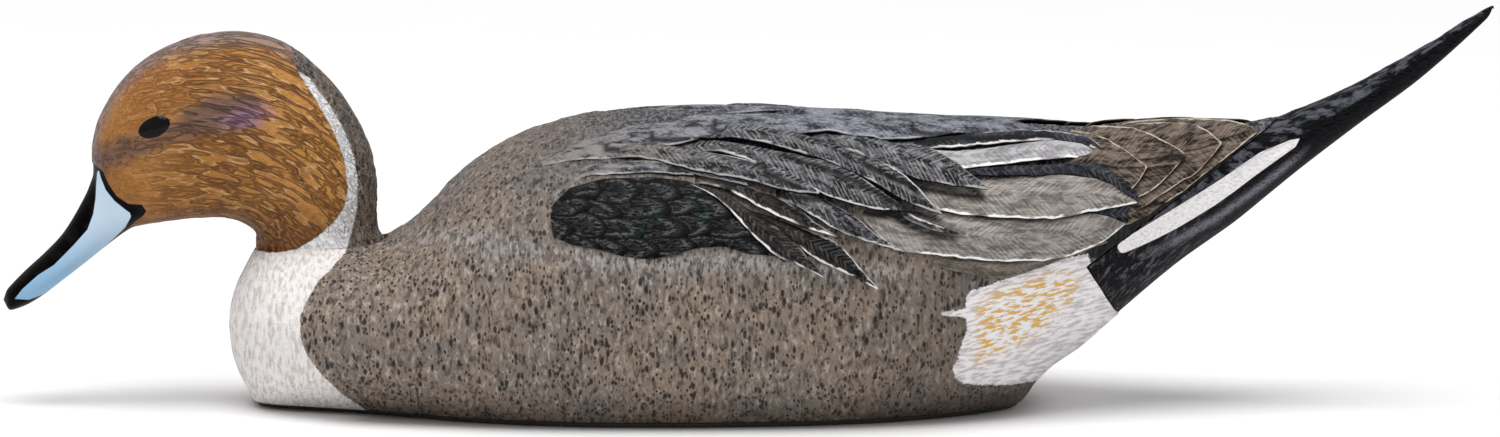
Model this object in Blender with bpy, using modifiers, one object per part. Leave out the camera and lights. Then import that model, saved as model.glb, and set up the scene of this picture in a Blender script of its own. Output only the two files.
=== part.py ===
"""Floating duck decoy, drake pintail, with a head that turns and a ballasted flat bottom.

The bill points to -X, +Z is up and the decoy is mirror symmetric about the plane Y = 0.
The origin lies on the flat bottom, half way between the bill tip and the tail tip.
"""

import math

import bmesh
import bpy
import numpy as np
from mathutils import Matrix, Vector
from mathutils.bvhtree import BVHTree

MM = 0.001

# ---------------------------------------------------------------- driving dimensions, in mm
WALL = 2.4  # body shell
HEAD_WALL = 3.0
GAP = 0.3  # between pieces that touch
PAN_TOP = 1.8  # the bottom pan is this thick where it shows outside the shell
PAN_FLOOR = 3.0  # and this thick inside the shell
RIM_TOP = 11.0  # the pan's rim stands this far up inside the shell
RIM_WALL = 2.2
FOAM_BOTTOM = 18.5

NECK_X = -145.8  # the axis that the head turns on
NECK_SEAT = 55.5
NECK_R = 22.2
COLLAR_LOW = 49.0  # a short collar on the shell meets the head all round
HEAD_BASE = NECK_SEAT + GAP
FLANGE_TOP = 52.2
FLANGE_R = 19.0

BALLAST_X = -20.0
BALLAST_BAR = (112.0, 42.0, 9.0)
WELL_CLEAR = 3.0  # round the bar
WELL_DEPTH = 13.0
WELL_WALL = 2.5
COVER = (134.0, 62.0, 2.2)
COVER_RECESS = 0.5
LEDGE_TOP = 8.0

TIE_X = -106.0  # pivot of the anchor line ring
TIE_Z = 6.6
TIE_WELL = (36.0, 28.0, 9.0)
TIE_WELL_X = -112.0
WIRE_R = 1.3
RING_HALF = 8.0
RING_LEG = 10.0
RING_DROP = 16.0  # degrees, so that its far end nearly touches what the decoy stands on

VENT_X = 62.0
EYE_AT = (-202.1, 96.9)
EYE_SINK = 1.3  # its centre lies this far under the head's surface
EYE_RADII = (7.3, 2.9, 4.3)
EYE_TILT = 20.0  # degrees, the rear corner is the higher one

# The tail meets the body in a notch, seen here from the side: its corner, and a point on each face.
NOTCH = (113.7, 51.5)
NOTCH_UPPER = (171.7, 92.7)
NOTCH_LOWER = (125.3, 30.8)
STEM_R = 5.0
STEM_LENGTH = 22.0

# Body stations from breast to tail tip: x, top, bottom, half width, height of the widest point,
# squareness above it and below it (2 is an ellipse). A bottom under 0 is cut flat at 0.
BODY = [
    (-177.7, 28.0, 28.0, 0.0, 28.0, 2.0, 2.0),
    (-176.8, 35.0, 20.0, 12.0, 28.0, 2.0, 2.0),
    (-174.5, 41.5, 12.0, 21.0, 28.0, 2.0, 2.0),
    (-171.0, 48.5, 5.0, 30.0, 28.0, 2.0, 2.0),
    (-166.5, 54.5, -0.5, 38.0, 28.0, 2.0, 2.0),
    (-160.0, 56.2, -1.5, 45.5, 28.0, 2.0, 2.0),
    (-150.0, 57.0, -2.0, 53.0, 28.5, 2.0, 2.0),
    (-138.0, 57.0, -2.8, 60.0, 29.0, 2.0, 2.0),
    (-127.0, 56.6, -3.6, 65.0, 30.0, 2.0, 2.1),
    (-119.0, 59.4, -4.4, 68.0, 31.0, 2.0, 2.2),
    (-110.0, 66.8, -5.4, 71.0, 32.0, 2.0, 2.3),
    (-100.0, 77.4, -7.0, 74.5, 33.5, 2.0, 2.4),
    (-88.0, 86.2, -9.5, 78.0, 35.0, 2.1, 2.4),
    (-72.0, 93.6, -13.0, 81.0, 37.0, 2.2, 2.4),
    (-50.0, 98.3, -16.0, 83.5, 39.0, 2.3, 2.4),
    (-20.0, 99.2, -17.0, 84.0, 41.0, 2.3, 2.4),
    (20.0, 98.0, -15.0, 82.0, 44.0, 2.3, 2.4),
    (55.0, 95.9, -10.0, 75.0, 48.0, 2.3, 2.3),
    (78.0, 95.2, -4.5, 66.0, 52.0, 2.3, 2.2),
    (90.0, 94.9, -0.5, 59.5, 55.0, 2.2, 2.1),
    (97.0, 94.6, 7.0, 55.0, 57.0, 2.2, 2.0),
    (103.0, 94.2, 13.3, 50.5, 59.5, 2.2, 2.0),
    (112.0, 94.0, 19.5, 44.5, 63.0, 2.1, 2.0),
    (125.0, 95.3, 30.6, 37.0, 69.0, 2.0, 2.0),
    (146.0, 96.3, 47.5, 27.5, 76.0, 2.0, 2.0),
    (166.0, 95.8, 61.8, 19.5, 82.0, 2.0, 2.0),
    (176.0, 97.2, 70.0, 15.5, 86.0, 2.0, 2.0),
    (187.0, 101.2, 79.0, 12.5, 92.0, 2.0, 2.0),
    (207.0, 110.5, 94.4, 9.0, 104.0, 2.0, 2.0),
    (228.0, 122.0, 110.0, 6.5, 117.0, 2.0, 2.0),
    (246.0, 133.3, 126.0, 4.2, 130.0, 2.0, 2.0),
    (252.0, 136.5, 131.8, 2.4, 134.4, 2.0, 2.0),
    (254.0, 135.4, 135.4, 0.0, 135.4, 2.0, 2.0),
]
CAVITY_STATIONS = 25  # the hollow stops where the tail grows thin

# Head stations from bill tip to neck base: a point on the upper outline (x, z), its partner on the
# lower outline (x, z), half width, and where the widest point lies between them (0 is the lower one).
HEAD = [
    (-254.0, 35.2, -254.0, 35.2, 0.0, 0.5),
    (-252.9, 38.4, -251.6, 31.8, 4.6, 0.5),
    (-250.2, 41.6, -247.0, 33.2, 8.0, 0.45),
    (-246.0, 45.8, -240.6, 36.9, 9.8, 0.4),
    (-239.9, 51.4, -233.4, 42.4, 10.2, 0.35),
    (-233.8, 57.9, -225.9, 48.2, 9.8, 0.35),
    (-228.0, 67.2, -217.8, 54.7, 9.8, 0.35),
    (-224.7, 74.0, -212.7, 58.5, 10.8, 0.38),
    (-223.2, 79.4, -208.6, 60.9, 12.8, 0.42),
    (-223.2, 86.5, -204.2, 61.9, 16.2, 0.45),
    (-221.9, 94.1, -199.8, 62.6, 19.4, 0.47),
    (-217.1, 104.3, -194.7, 63.3, 22.2, 0.48),
    (-208.6, 114.6, -188.9, 64.0, 24.2, 0.48),
    (-196.7, 122.0, -183.1, 64.3, 25.2, 0.48),
    (-185.5, 125.5, -178.3, 64.0, 25.6, 0.48),
    (-174.6, 126.6, -174.6, 63.3, 25.4, 0.48),
    (-165.1, 125.2, -172.2, 62.4, 25.0, 0.48),
    (-154.9, 120.7, -170.5, 61.5, 24.4, 0.48),
    (-145.7, 113.2, -169.3, 60.5, 23.8, 0.49),
    (-137.9, 104.0, -168.5, 59.6, 23.2, 0.49),
    (-132.4, 94.7, -168.1, 58.8, 22.8, 0.5),
    (-128.7, 84.8, -167.9, 58.1, 22.5, 0.5),
    (-127.0, 72.8, -167.9, 57.3, 22.3, 0.5),
    (-127.2, 64.5, -168.0, 56.7, 22.2, 0.5),
    (-126.5, 60.0, -168.0, 56.2, 22.2, 0.5),
    (NECK_X + NECK_R, HEAD_BASE, NECK_X - NECK_R, HEAD_BASE, NECK_R, 0.5),
]
FIRST_HOLLOW_STATION = 9  # the bill is solid


# ---------------------------------------------------------------- scene, materials and small tools
def clear_scene():
    for thing in list(bpy.data.objects):
        bpy.data.objects.remove(thing)


clear_scene()
PARTS = bpy.data.collections.new("duck_decoy")
CUTTERS = bpy.data.collections.new("cutters")
for group in (PARTS, CUTTERS):
    bpy.context.scene.collection.children.link(group)


def make_material(name, colour, roughness=0.6, metallic=0.0):
    material = bpy.data.materials.new(name)
    material.use_nodes = True
    shader = material.node_tree.nodes["Principled BSDF"]
    shader.inputs["Base Color"].default_value = (*colour, 1.0)
    shader.inputs["Roughness"].default_value = roughness
    shader.inputs["Metallic"].default_value = metallic
    return material


MATERIALS = {
    "body_plastic": make_material("body_plastic", (0.21, 0.18, 0.15), 0.8),
    "head_plastic": make_material("head_plastic", (0.42, 0.19, 0.06), 0.65),
    "tail_rubber": make_material("tail_rubber", (0.03, 0.03, 0.035), 0.55),
    "pan_plastic": make_material("pan_plastic", (0.07, 0.065, 0.06), 0.7),
    "foam": make_material("foam", (0.75, 0.68, 0.5), 0.95),
    "iron": make_material("iron", (0.16, 0.16, 0.17), 0.5, 0.9),
    "steel": make_material("steel", (0.6, 0.6, 0.62), 0.3, 1.0),
    "brass": make_material("brass", (0.6, 0.44, 0.18), 0.3, 1.0),
    "nylon": make_material("nylon", (0.8, 0.79, 0.74), 0.45),
    "rubber": make_material("rubber", (0.03, 0.03, 0.03), 0.8),
    "eye_glass": make_material("eye_glass", (0.01, 0.01, 0.012), 0.05),
}


def place(thing, material=None):
    """Puts a made object with the parts, or with the cutters when it has no material."""
    for group in list(thing.users_collection):
        group.objects.unlink(thing)
    thing.hide_render = material is None
    if material is None:
        CUTTERS.objects.link(thing)
        thing.display_type = "WIRE"
    else:
        thing.display_type = "TEXTURED"
        PARTS.objects.link(thing)
        thing.data.materials.clear()
        thing.data.materials.append(MATERIALS[material])
        thing.data.set_sharp_from_angle(angle=math.radians(35))
    return thing


def from_bmesh(name, shape, material=None):
    mesh = bpy.data.meshes.new(name)
    shape.to_mesh(mesh)
    shape.free()
    mesh.shade_smooth()
    thing = bpy.data.objects.new(name, mesh)
    bpy.context.scene.collection.objects.link(thing)
    return place(thing, material)


def settle(thing):
    """Replaces an object's modifiers, or a curve, by the mesh they make, with its caps welded."""
    bpy.context.view_layer.update()
    evaluated = thing.evaluated_get(bpy.context.evaluated_depsgraph_get())
    mesh = bpy.data.meshes.new_from_object(evaluated)
    shape = bmesh.new()
    shape.from_mesh(mesh)
    bmesh.ops.remove_doubles(shape, verts=shape.verts, dist=0.002 * MM)
    shape.to_mesh(mesh)
    shape.free()
    name, matrix = thing.name, thing.matrix_world.copy()
    bpy.data.objects.remove(thing)
    made = bpy.data.objects.new(name, mesh)
    made.matrix_world = matrix
    bpy.context.scene.collection.objects.link(made)
    return made


def combine(thing, operation, *others):
    for other in others:
        modifier = thing.modifiers.new(other.name, "BOOLEAN")
        modifier.operation = operation
        modifier.object = other
        modifier.solver = "EXACT"
    return thing


def cut(thing, *others):
    return combine(thing, "DIFFERENCE", *others)


def join(thing, *others):
    return combine(thing, "UNION", *others)


def keep(thing, *others):
    return combine(thing, "INTERSECT", *others)


def box(name, low, high, material=None, bevel=0.0):
    """A box between two corners, in mm."""
    low, high = Vector(low) * MM, Vector(high) * MM
    shape = bmesh.new()
    size = Matrix.Diagonal((*(high - low), 1.0))
    bmesh.ops.create_cube(shape, size=1.0, matrix=Matrix.Translation((low + high) / 2) @ size)
    thing = from_bmesh(name, shape, material)
    if bevel:
        modifier = thing.modifiers.new("edges", "BEVEL")
        modifier.width = bevel * MM
        modifier.segments = 2
    return thing


def centred_box(name, x, size, z_low, z_high, material=None, bevel=0.0):
    """A box centred on (x, 0), given its length and width and its heights, in mm."""
    half_length, half_width = size[0] / 2, size[1] / 2
    low = (x - half_length, -half_width, z_low)
    return box(name, low, (x + half_length, half_width, z_high), material, bevel)


def axis_matrix(at, along):
    turn = Vector(along).normalized().to_track_quat("Z", "Y")
    return Matrix.Translation(Vector(at) * MM) @ turn.to_matrix().to_4x4()


def rod(name, at, radius, low, high, material=None, along=(0, 0, 1), sides=32):
    """A cylinder or prism on an axis through a point, between two distances along the axis, in mm."""
    shape = bmesh.new()
    middle = Matrix.Translation((0, 0, (low + high) / 2 * MM))
    bmesh.ops.create_cone(
        shape,
        cap_ends=True,
        segments=sides,
        radius1=radius * MM,
        radius2=radius * MM,
        depth=(high - low) * MM,
        matrix=axis_matrix(at, along) @ middle,
    )
    return from_bmesh(name, shape, material)


def turned(name, profile, at, material=None, along=(0, 0, 1), steps=24, hollow=False):
    """A turned piece from (radius, height) points in mm, down its outer side from the top. A hollow
    one closes on itself away from the axis."""
    points = [(r * MM, 0, z * MM) for r, z in profile]
    edges = [(i, i + 1) for i in range(len(points) - 1)]
    if hollow:
        edges.append((len(points) - 1, 0))
    mesh = bpy.data.meshes.new(name)
    mesh.from_pydata(points, edges, [])
    thing = bpy.data.objects.new(name, mesh)
    thing.matrix_world = axis_matrix(at, along)
    bpy.context.scene.collection.objects.link(thing)
    screw = thing.modifiers.new("turn", "SCREW")
    screw.steps = screw.render_steps = steps
    screw.use_merge_vertices = True
    screw.merge_threshold = 0.00001
    return place(settle(thing), material)


def prism(name, outline, half_depth, material=None, at=(0, 0)):
    """An outline of (x, z) points in mm, extruded along Y to half_depth each way."""
    curve = bpy.data.curves.new(name, "CURVE")
    curve.dimensions = "2D"
    curve.fill_mode = "BOTH"
    curve.extrude = half_depth * MM
    spline = curve.splines.new("POLY")
    spline.points.add(len(outline) - 1)
    for point, (x, z) in zip(spline.points, outline):
        point.co = ((x + at[0]) * MM, (z + at[1]) * MM, 0, 1)
    spline.use_cyclic_u = True
    thing = bpy.data.objects.new(name, curve)
    thing.rotation_euler = (math.radians(90), 0, 0)
    bpy.context.scene.collection.objects.link(thing)
    return place(settle(thing), material)


def wire(name, points, radius, material, cyclic=False):
    """A round wire along points in mm."""
    curve = bpy.data.curves.new(name, "CURVE")
    curve.dimensions = "3D"
    curve.bevel_depth = radius * MM
    curve.bevel_resolution = 2
    curve.use_fill_caps = True
    spline = curve.splines.new("POLY")
    spline.points.add(len(points) - 1)
    for point, at in zip(spline.points, points):
        point.co = (*(Vector(at) * MM), 1)
    spline.use_cyclic_u = cyclic
    thing = bpy.data.objects.new(name, curve)
    bpy.context.scene.collection.objects.link(thing)
    return place(settle(thing), material)


# ---------------------------------------------------------------- lofted surfaces
def smooth_rows(rows, steps):
    """The rows with others put between them on monotone cubic curves."""
    rows = np.array(rows, float)
    rise = np.diff(rows, axis=0)
    slope = np.vstack([rise[:1], np.zeros_like(rise[1:]), rise[-1:]])
    before, after = rise[:-1], rise[1:]
    same_way = before * after > 0
    total = np.where(same_way, before + after, 1.0)
    slope[1:-1] = np.where(same_way, 2 * before * after / total, 0.0)
    made = []
    for i in range(len(rise)):
        for t in np.arange(steps) / steps:
            near = (1 + 2 * t) * (1 - t) ** 2 * rows[i] + t * (1 - t) ** 2 * slope[i]
            far = t * t * (3 - 2 * t) * rows[i + 1] + t * t * (t - 1) * slope[i + 1]
            made.append(near + far)
    return np.array([*made, rows[-1]])


def ring(top, bottom, half_width, widest, upper_power, lower_power, around):
    """Points round one section. top and bottom are (x, z), and widest is a share of the way up."""
    top, bottom = np.array(top, float), np.array(bottom, float)
    middle = bottom + (top - bottom) * widest
    points = []
    for angle in np.arange(around) * 2 * math.pi / around:
        up, across = math.sin(angle), math.cos(angle)
        power = 2 / (upper_power if up > 0 else lower_power)
        reach = top - middle if up > 0 else bottom - middle
        x, z = middle + reach * abs(up) ** power
        points.append((x, math.copysign(abs(across) ** power, across) * half_width, z))
    return points


def body_ring(row, around):
    x, top, bottom, half_width, wide_z, upper, lower = row
    widest = (wide_z - bottom) / max(top - bottom, 0.001)
    return ring((x, top), (x, bottom), half_width, widest, upper, lower, around)


def head_ring(row, around):
    top_x, top_z, bottom_x, bottom_z, half_width, widest = row
    return ring((top_x, top_z), (bottom_x, bottom_z), half_width, widest, 2.1, 2.1, around)


def loft(name, rows, make_ring, around, inset=0.0):
    """A closed surface through the sections, shrunk by inset. A section of no width is a pole."""
    shape = bmesh.new()
    rings = []
    for row in rows:
        points = make_ring(row, around)
        if max(y for _, y, _ in points) > 0.01:
            rings.append([shape.verts.new(point) for point in points])
        else:
            rings.append([shape.verts.new(points[0])] * around)
    for first, second in zip(rings, rings[1:]):
        for i in range(around):
            j = (i + 1) % around
            corners = dict.fromkeys((first[i], first[j], second[j], second[i]))
            shape.faces.new(list(corners))
    for end in (rings[0], rings[-1]):
        if end[0] is not end[1]:
            shape.faces.new(end)
    bmesh.ops.recalc_face_normals(shape, faces=shape.faces)
    if shape.calc_volume(signed=True) < 0:
        bmesh.ops.reverse_faces(shape, faces=shape.faces)
    shape.normal_update()
    moved = [v.co - v.normal * inset for v in shape.verts]
    for vertex, place_now in zip(shape.verts, moved):
        vertex.co = place_now * MM
    return from_bmesh(name, shape)


def body_loft(name, inset=0.0, stations=len(BODY), steps=1, around=28):
    return loft(name, smooth_rows(BODY[:stations], steps), body_ring, around, inset)


def head_loft(name, inset=0.0, first=0, steps=1, around=24):
    return loft(name, smooth_rows(HEAD[first:], steps), head_ring, around, inset)


def notch_prism(name, grow):
    """The wedge behind the body that the tail fills, moved out by grow on both faces."""
    corner = Vector(NOTCH)
    upper = (Vector(NOTCH_UPPER) - corner).normalized()
    lower = (Vector(NOTCH_LOWER) - corner).normalized()
    half_angle = upper.angle(lower) / 2
    start = corner - (upper + lower).normalized() * grow / math.sin(half_angle)
    reach = 220.0
    outline = [start, start + lower * reach, start + (upper + lower) * reach, start + upper * reach]
    return prism(name, outline, 80.0)


# ---------------------------------------------------------------- body
BELOW, ABOVE, WIDE = -40.0, 160.0, 300.0


def slab(name, z_low, z_high):
    """Everything between two heights."""
    return box(name, (-WIDE, -WIDE, z_low), (WIDE, WIDE, z_high))


def make_body_shell():
    """The moulded upper body: feathered back, flanks and breast, open at the bottom."""
    hollow = body_loft("shell_hollow", inset=WALL, stations=CAVITY_STATIONS)
    neck_pad = rod("neck_pad", (NECK_X, 0, 0), NECK_R + 2, NECK_SEAT - WALL - GAP, ABOVE)
    cut(hollow, neck_pad, notch_prism("rear_wall", WALL))
    shell = body_loft("body_shell", steps=2)
    place(shell, "body_plastic")
    join(shell, rod("neck_collar", (NECK_X, 0, 0), NECK_R, COLLAR_LOW, NECK_SEAT + 1, sides=48))
    cut(
        shell,
        slab("shell_bottom", BELOW, PAN_TOP + GAP),
        notch_prism("tail_notch", 0),
        rod("neck_seat", (NECK_X, 0, 0), NECK_R + 1, NECK_SEAT, ABOVE, sides=48),
        hollow,
        rod("neck_hole", (NECK_X, 0, 0), 13.2, 40, 60),
        rod("flange_seat", (NECK_X, 0, 0), FLANGE_R + 0.6, 44, FLANGE_TOP + GAP),
        rod("stem_hole", stem_start(), STEM_R + 0.4, -4, 8, along=stem_direction()),
    )
    return shell


def stem_direction():
    """Square to the notch's lower face, into the body."""
    along = (Vector(NOTCH_LOWER) - Vector(NOTCH)).normalized()
    return Vector((along.y, 0, -along.x))


def stem_start():
    middle = (Vector(NOTCH) + Vector(NOTCH_LOWER)) / 2
    return Vector((middle.x, 0, middle.y))


def make_hull_pan():
    """The flat bottom, with a rim inside the shell, a ballast well and a well for the line ring."""
    half_plate = PAN_TOP - 0.7
    rim = body_loft("pan_rim", inset=WALL + 0.4, stations=CAVITY_STATIONS)
    keep(rim, slab("rim_heights", half_plate, RIM_TOP))
    inside = body_loft("rim_inside", inset=WALL + 0.4 + RIM_WALL, stations=CAVITY_STATIONS)
    cut(inside, slab("floor_heights", BELOW, PAN_FLOOR))
    cut(rim, inside)
    pan = body_loft("hull_pan", steps=2)
    place(pan, "pan_plastic")
    keep(pan, slab("pan_heights", 0, PAN_TOP))
    well = [side + 2 * WELL_CLEAR for side in BALLAST_BAR[:2]]
    outer_well = [side + 2 * WELL_WALL for side in well]
    ledge = [side + 8 for side in COVER[:2]]
    rebate = [side + 2 * GAP for side in COVER[:2]]
    tie_outer = [side + 2 * WELL_WALL for side in TIE_WELL[:2]]
    tie_top = TIE_WELL[2] + WELL_WALL
    join(
        rim,
        centred_box("ledge_block", BALLAST_X, ledge, 0.5, LEDGE_TOP),
        centred_box("well_block", BALLAST_X, outer_well, 1.0, WELL_DEPTH + WELL_WALL),
        centred_box("tie_block", TIE_WELL_X, tie_outer, 1.5, tie_top),
    )
    join(pan, rim)
    cut(
        pan,
        centred_box("rebate", BALLAST_X, rebate, -2, PAN_FLOOR),
        centred_box("well", BALLAST_X, well, -3, WELL_DEPTH),
        centred_box("tie_well", TIE_WELL_X, TIE_WELL, -4, TIE_WELL[2]),
        rod("vent_hole", (VENT_X, 0, 0), 5.0, -2, 8),
        rod("vent_counterbore", (VENT_X, 0, 0), 7.5, -1, 1.9),
    )
    for i, (x, y) in enumerate(cover_screw_places(), 1):
        cut(pan, rod(f"cover_screw_hole_{i}", (x, y, 0), 2.0, 1, LEDGE_TOP - 0.4, sides=12))
    for i, x in enumerate(tie_screw_places(), 1):
        cut(pan, rod(f"tie_screw_hole_{i}", (x, 0, 0), 1.6, 6, 20, sides=12))
    return pan


def make_foam_core():
    """Closed-cell foam that fills the shell above the ballast."""
    foam = body_loft("foam_core", inset=WALL + 0.6, stations=CAVITY_STATIONS)
    place(foam, "foam")
    socket_room = rod("foam_tail_room", stem_start(), 11.0, -5, 30, along=stem_direction())
    cut(
        foam,
        slab("foam_bottom", BELOW, FOAM_BOTTOM),
        notch_prism("foam_rear", WALL + 0.6),
        rod("foam_neck_room", (NECK_X, 0, 0), NECK_R + 4, 36, ABOVE),
        socket_room,
    )
    return foam


# ---------------------------------------------------------------- ballast, screws and line tie
def cover_screw_places():
    return [
        (BALLAST_X + side_x * (COVER[0] / 2 - 5), side_y * (COVER[1] / 2 - 5))
        for side_x in (-1, 1)
        for side_y in (-1, 1)
    ]


def tie_screw_places():
    return [TIE_X - 5.3, TIE_X + 5.3]


def screw_mesh(name, profile, slot_depth):
    """A turned screw, point up and head down, with a crossed slot in the head's lower face."""
    blank = turned(name, profile, (0, 0, 0), "steel", steps=16)
    low = min(z for _, z in profile)
    for i, (x, y) in enumerate(((1.9, 0.4), (0.4, 1.9))):
        slot = box(f"{name}_slot_{i}", (-x, -y, low - 1), (x, y, low + slot_depth))
        cut(blank, slot)
    finished = settle(blank)
    mesh = finished.data
    mesh.shade_smooth()
    bpy.data.objects.remove(finished)
    return mesh


def add_copies(name, mesh, places, z, material):
    for i, (x, y) in enumerate(places, 1):
        thing = bpy.data.objects.new(f"{name}_{i}", mesh)
        thing.location = (x * MM, y * MM, z * MM)
        place(thing, material)


def make_ballast():
    bar_low = PAN_FLOOR + 0.4
    half = BALLAST_BAR[2]
    centred_box("ballast_bar", BALLAST_X, BALLAST_BAR, bar_low, bar_low + half, "iron", bevel=1.0)
    top = COVER_RECESS + COVER[2]
    cover = centred_box("ballast_cover", BALLAST_X, COVER, COVER_RECESS, top, "pan_plastic")
    head_r, shank_r, head_height = 4.0, 1.7, 2.0
    screw_low = COVER_RECESS + 0.2
    for i, (x, y) in enumerate(cover_screw_places(), 1):
        profile = [
            (0, top + 1),
            (shank_r + 0.3, top + 1),
            (shank_r + 0.3, screw_low + head_height),
            (head_r + 0.3, screw_low + 0.2),
            (head_r + 0.3, COVER_RECESS - 1),
            (0, COVER_RECESS - 1),
        ]
        cut(cover, turned(f"countersink_{i}", profile, (x, y, 0), steps=16))
    profile = [
        (0, 6.6),
        (shank_r - 0.5, 6.4),
        (shank_r, 5.4),
        (shank_r, head_height),
        (head_r, 0.2),
        (head_r, 0),
        (0, 0),
    ]
    mesh = screw_mesh("countersunk_screw", profile, 1.1)
    add_copies("ballast_screw", mesh, cover_screw_places(), screw_low, "steel")


def make_line_tie():
    """A strap screwed to the roof of the front well, and the D ring that swings in it."""
    inner, outer = WIRE_R + 0.3, WIRE_R + 1.5
    roof, strap_low, wing = TIE_WELL[2] - GAP, TIE_WELL[2] - 1.5, 7.6
    half_turn = [math.pi * (1 + i / 10) for i in range(11)]
    under = [(outer * math.cos(a), TIE_Z + outer * math.sin(a)) for a in half_turn]
    inside = [(inner * math.cos(a), TIE_Z + inner * math.sin(a)) for a in half_turn]
    outline = [(-wing, roof), (-wing, strap_low), (-outer, strap_low), *under]
    outline += [(outer, strap_low), (wing, strap_low), (wing, roof), (inner, roof)]
    outline += [*reversed(inside), (-inner, roof)]
    strap = prism("line_tie_bracket", outline, 4.5, "brass", at=(TIE_X, 0))
    for i, x in enumerate(tie_screw_places(), 1):
        cut(strap, rod(f"strap_hole_{i}", (x, 0, 0), 1.6, 5, 12, sides=12))
    head_z = strap_low - GAP
    profile = [(0, 5.6), (0.9, 5.2), (1.3, 4.2), (1.3, 0), (2.2, 0), (2.0, -1.1), (0, -1.2)]
    mesh = screw_mesh("pan_head_screw", profile, 0.6)
    add_copies("line_tie_screw", mesh, [(x, 0) for x in tie_screw_places()], head_z, "steel")
    far = [math.pi * (0.5 + i / 14) for i in range(15)]
    bend = [(RING_HALF * math.cos(a) - RING_LEG, RING_HALF * math.sin(a)) for a in far]
    drop = math.radians(RING_DROP)
    route = [
        (TIE_X + reach * math.cos(drop), y, TIE_Z + reach * math.sin(drop))
        for reach, y in [(0, -RING_HALF), (0, RING_HALF), *bend]
    ]
    wire("line_tie_ring", route, WIRE_R, "brass", cyclic=True)


def make_vent_plug():
    profile = [
        (0, 6.6), (3.6, 6.6), (5.9, 4.6), (5.9, 3.4), (4.6, 3.2), (4.6, 1.6),
        (7.1, 1.6), (7.1, 0.9), (6.7, 0.6), (0, 0.6),
    ]  # fmt: skip
    turned("vent_plug", profile, (VENT_X, 0, 0), "rubber", steps=20)


# ---------------------------------------------------------------- neck swivel
def make_neck_swivel():
    """A flanged bush in the body, and the plug, bolt, washers and nut that turn in it."""
    at = (NECK_X, 0, 0)
    flange_low = FLANGE_TOP - 2.5
    bush = [(8.3, NECK_SEAT - 0.2), (12.7, NECK_SEAT - 0.2), (12.7, FLANGE_TOP)]
    bush += [(FLANGE_R, FLANGE_TOP), (FLANGE_R, flange_low), (8.3, flange_low)]
    turned("neck_bush", bush, at, "nylon", steps=32, hollow=True)
    spring_low = flange_low - 1.6
    washer_low = spring_low - 1.8
    plug_low, plug_top, pocket = spring_low, 70.0, 65.0
    plug = [(3.3, plug_top), (14, plug_top), (14, 60), (18, 60), (18, HEAD_BASE + GAP)]
    plug += [(8, HEAD_BASE + GAP), (8, plug_low), (3.3, plug_low)]
    body = turned("neck_plug", plug, at, "nylon", steps=32, hollow=True)
    cut(body, rod("nut_pocket", at, 6.1, pocket, plug_top + 2, sides=6))
    spring = [(9, flange_low - GAP), (14, flange_low - GAP), (14, spring_low), (9, spring_low)]
    turned("neck_spring_washer", spring, at, "steel", hollow=True)
    washer = [(3.4, spring_low - GAP), (14, spring_low - GAP), (14, washer_low), (3.4, washer_low)]
    turned("neck_washer", washer, at, "steel", hollow=True)
    bolt = rod("neck_bolt", at, 5.6, washer_low - 4.3, washer_low - GAP, "steel", sides=6)
    join(bolt, rod("neck_bolt_shank", at, 3.0, washer_low - 1.5, 69.4, sides=20))
    nut = rod("neck_nut", at, 5.7, pocket + GAP, plug_top - GAP, "steel", sides=6)
    cut(nut, rod("nut_bore", at, 3.3, 60, 75, sides=20))


# ---------------------------------------------------------------- head
def surface_at(thing, x, z):
    """The spot on the outside of an object at (x, z) on its right, in mm, and the way it faces."""
    bpy.context.view_layer.update()
    tree = BVHTree.FromObject(thing, bpy.context.evaluated_depsgraph_get())
    place, normal, _, _ = tree.ray_cast(Vector((x, 100, z)) * MM, Vector((0, -1, 0)))
    return place / MM, normal


def eye_solid(name, side, spot, radii, material=None):
    """An ellipsoid set into the head at a spot on its right, or opposite it where side is -1."""
    place, facing = spot
    mirror = Vector((1, side, 1))
    centre = (place - facing * EYE_SINK) * mirror
    out = facing * mirror
    tilt = math.radians(EYE_TILT)
    along = Vector((math.cos(tilt), 0, math.sin(tilt)))
    along = (along - out * along.dot(out)).normalized()
    turn = Matrix((along, out, along.cross(out))).transposed().to_4x4()
    size = Matrix.Diagonal((*(Vector(radii) * MM), 1.0))
    pose = Matrix.Translation(centre * MM) @ turn @ size
    shape = bmesh.new()
    bmesh.ops.create_uvsphere(shape, u_segments=32, v_segments=18, radius=1.0, matrix=pose)
    return from_bmesh(name, shape, material)


def make_head():
    """The hollow head with its solid bill, open at the neck, and the two eyes."""
    head = head_loft("head_shell", steps=2)
    place(head, "head_plastic")
    spot = surface_at(head, *EYE_AT)
    hollow = head_loft("head_hollow", inset=HEAD_WALL, first=FIRST_HOLLOW_STATION)
    cut(hollow, slab("neck_ring", BELOW, HEAD_BASE + 3.5))
    cut(head, hollow, rod("plug_hole", (NECK_X, 0, 0), 18.3, 50, 62, sides=40))
    socket = [radius + GAP for radius in EYE_RADII]
    for name, side in (("left_eye", -1), ("right_eye", 1)):
        cut(head, eye_solid(f"{name}_socket", side, spot, socket))
        eye_solid(name, side, spot, EYE_RADII, "eye_glass")


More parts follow.
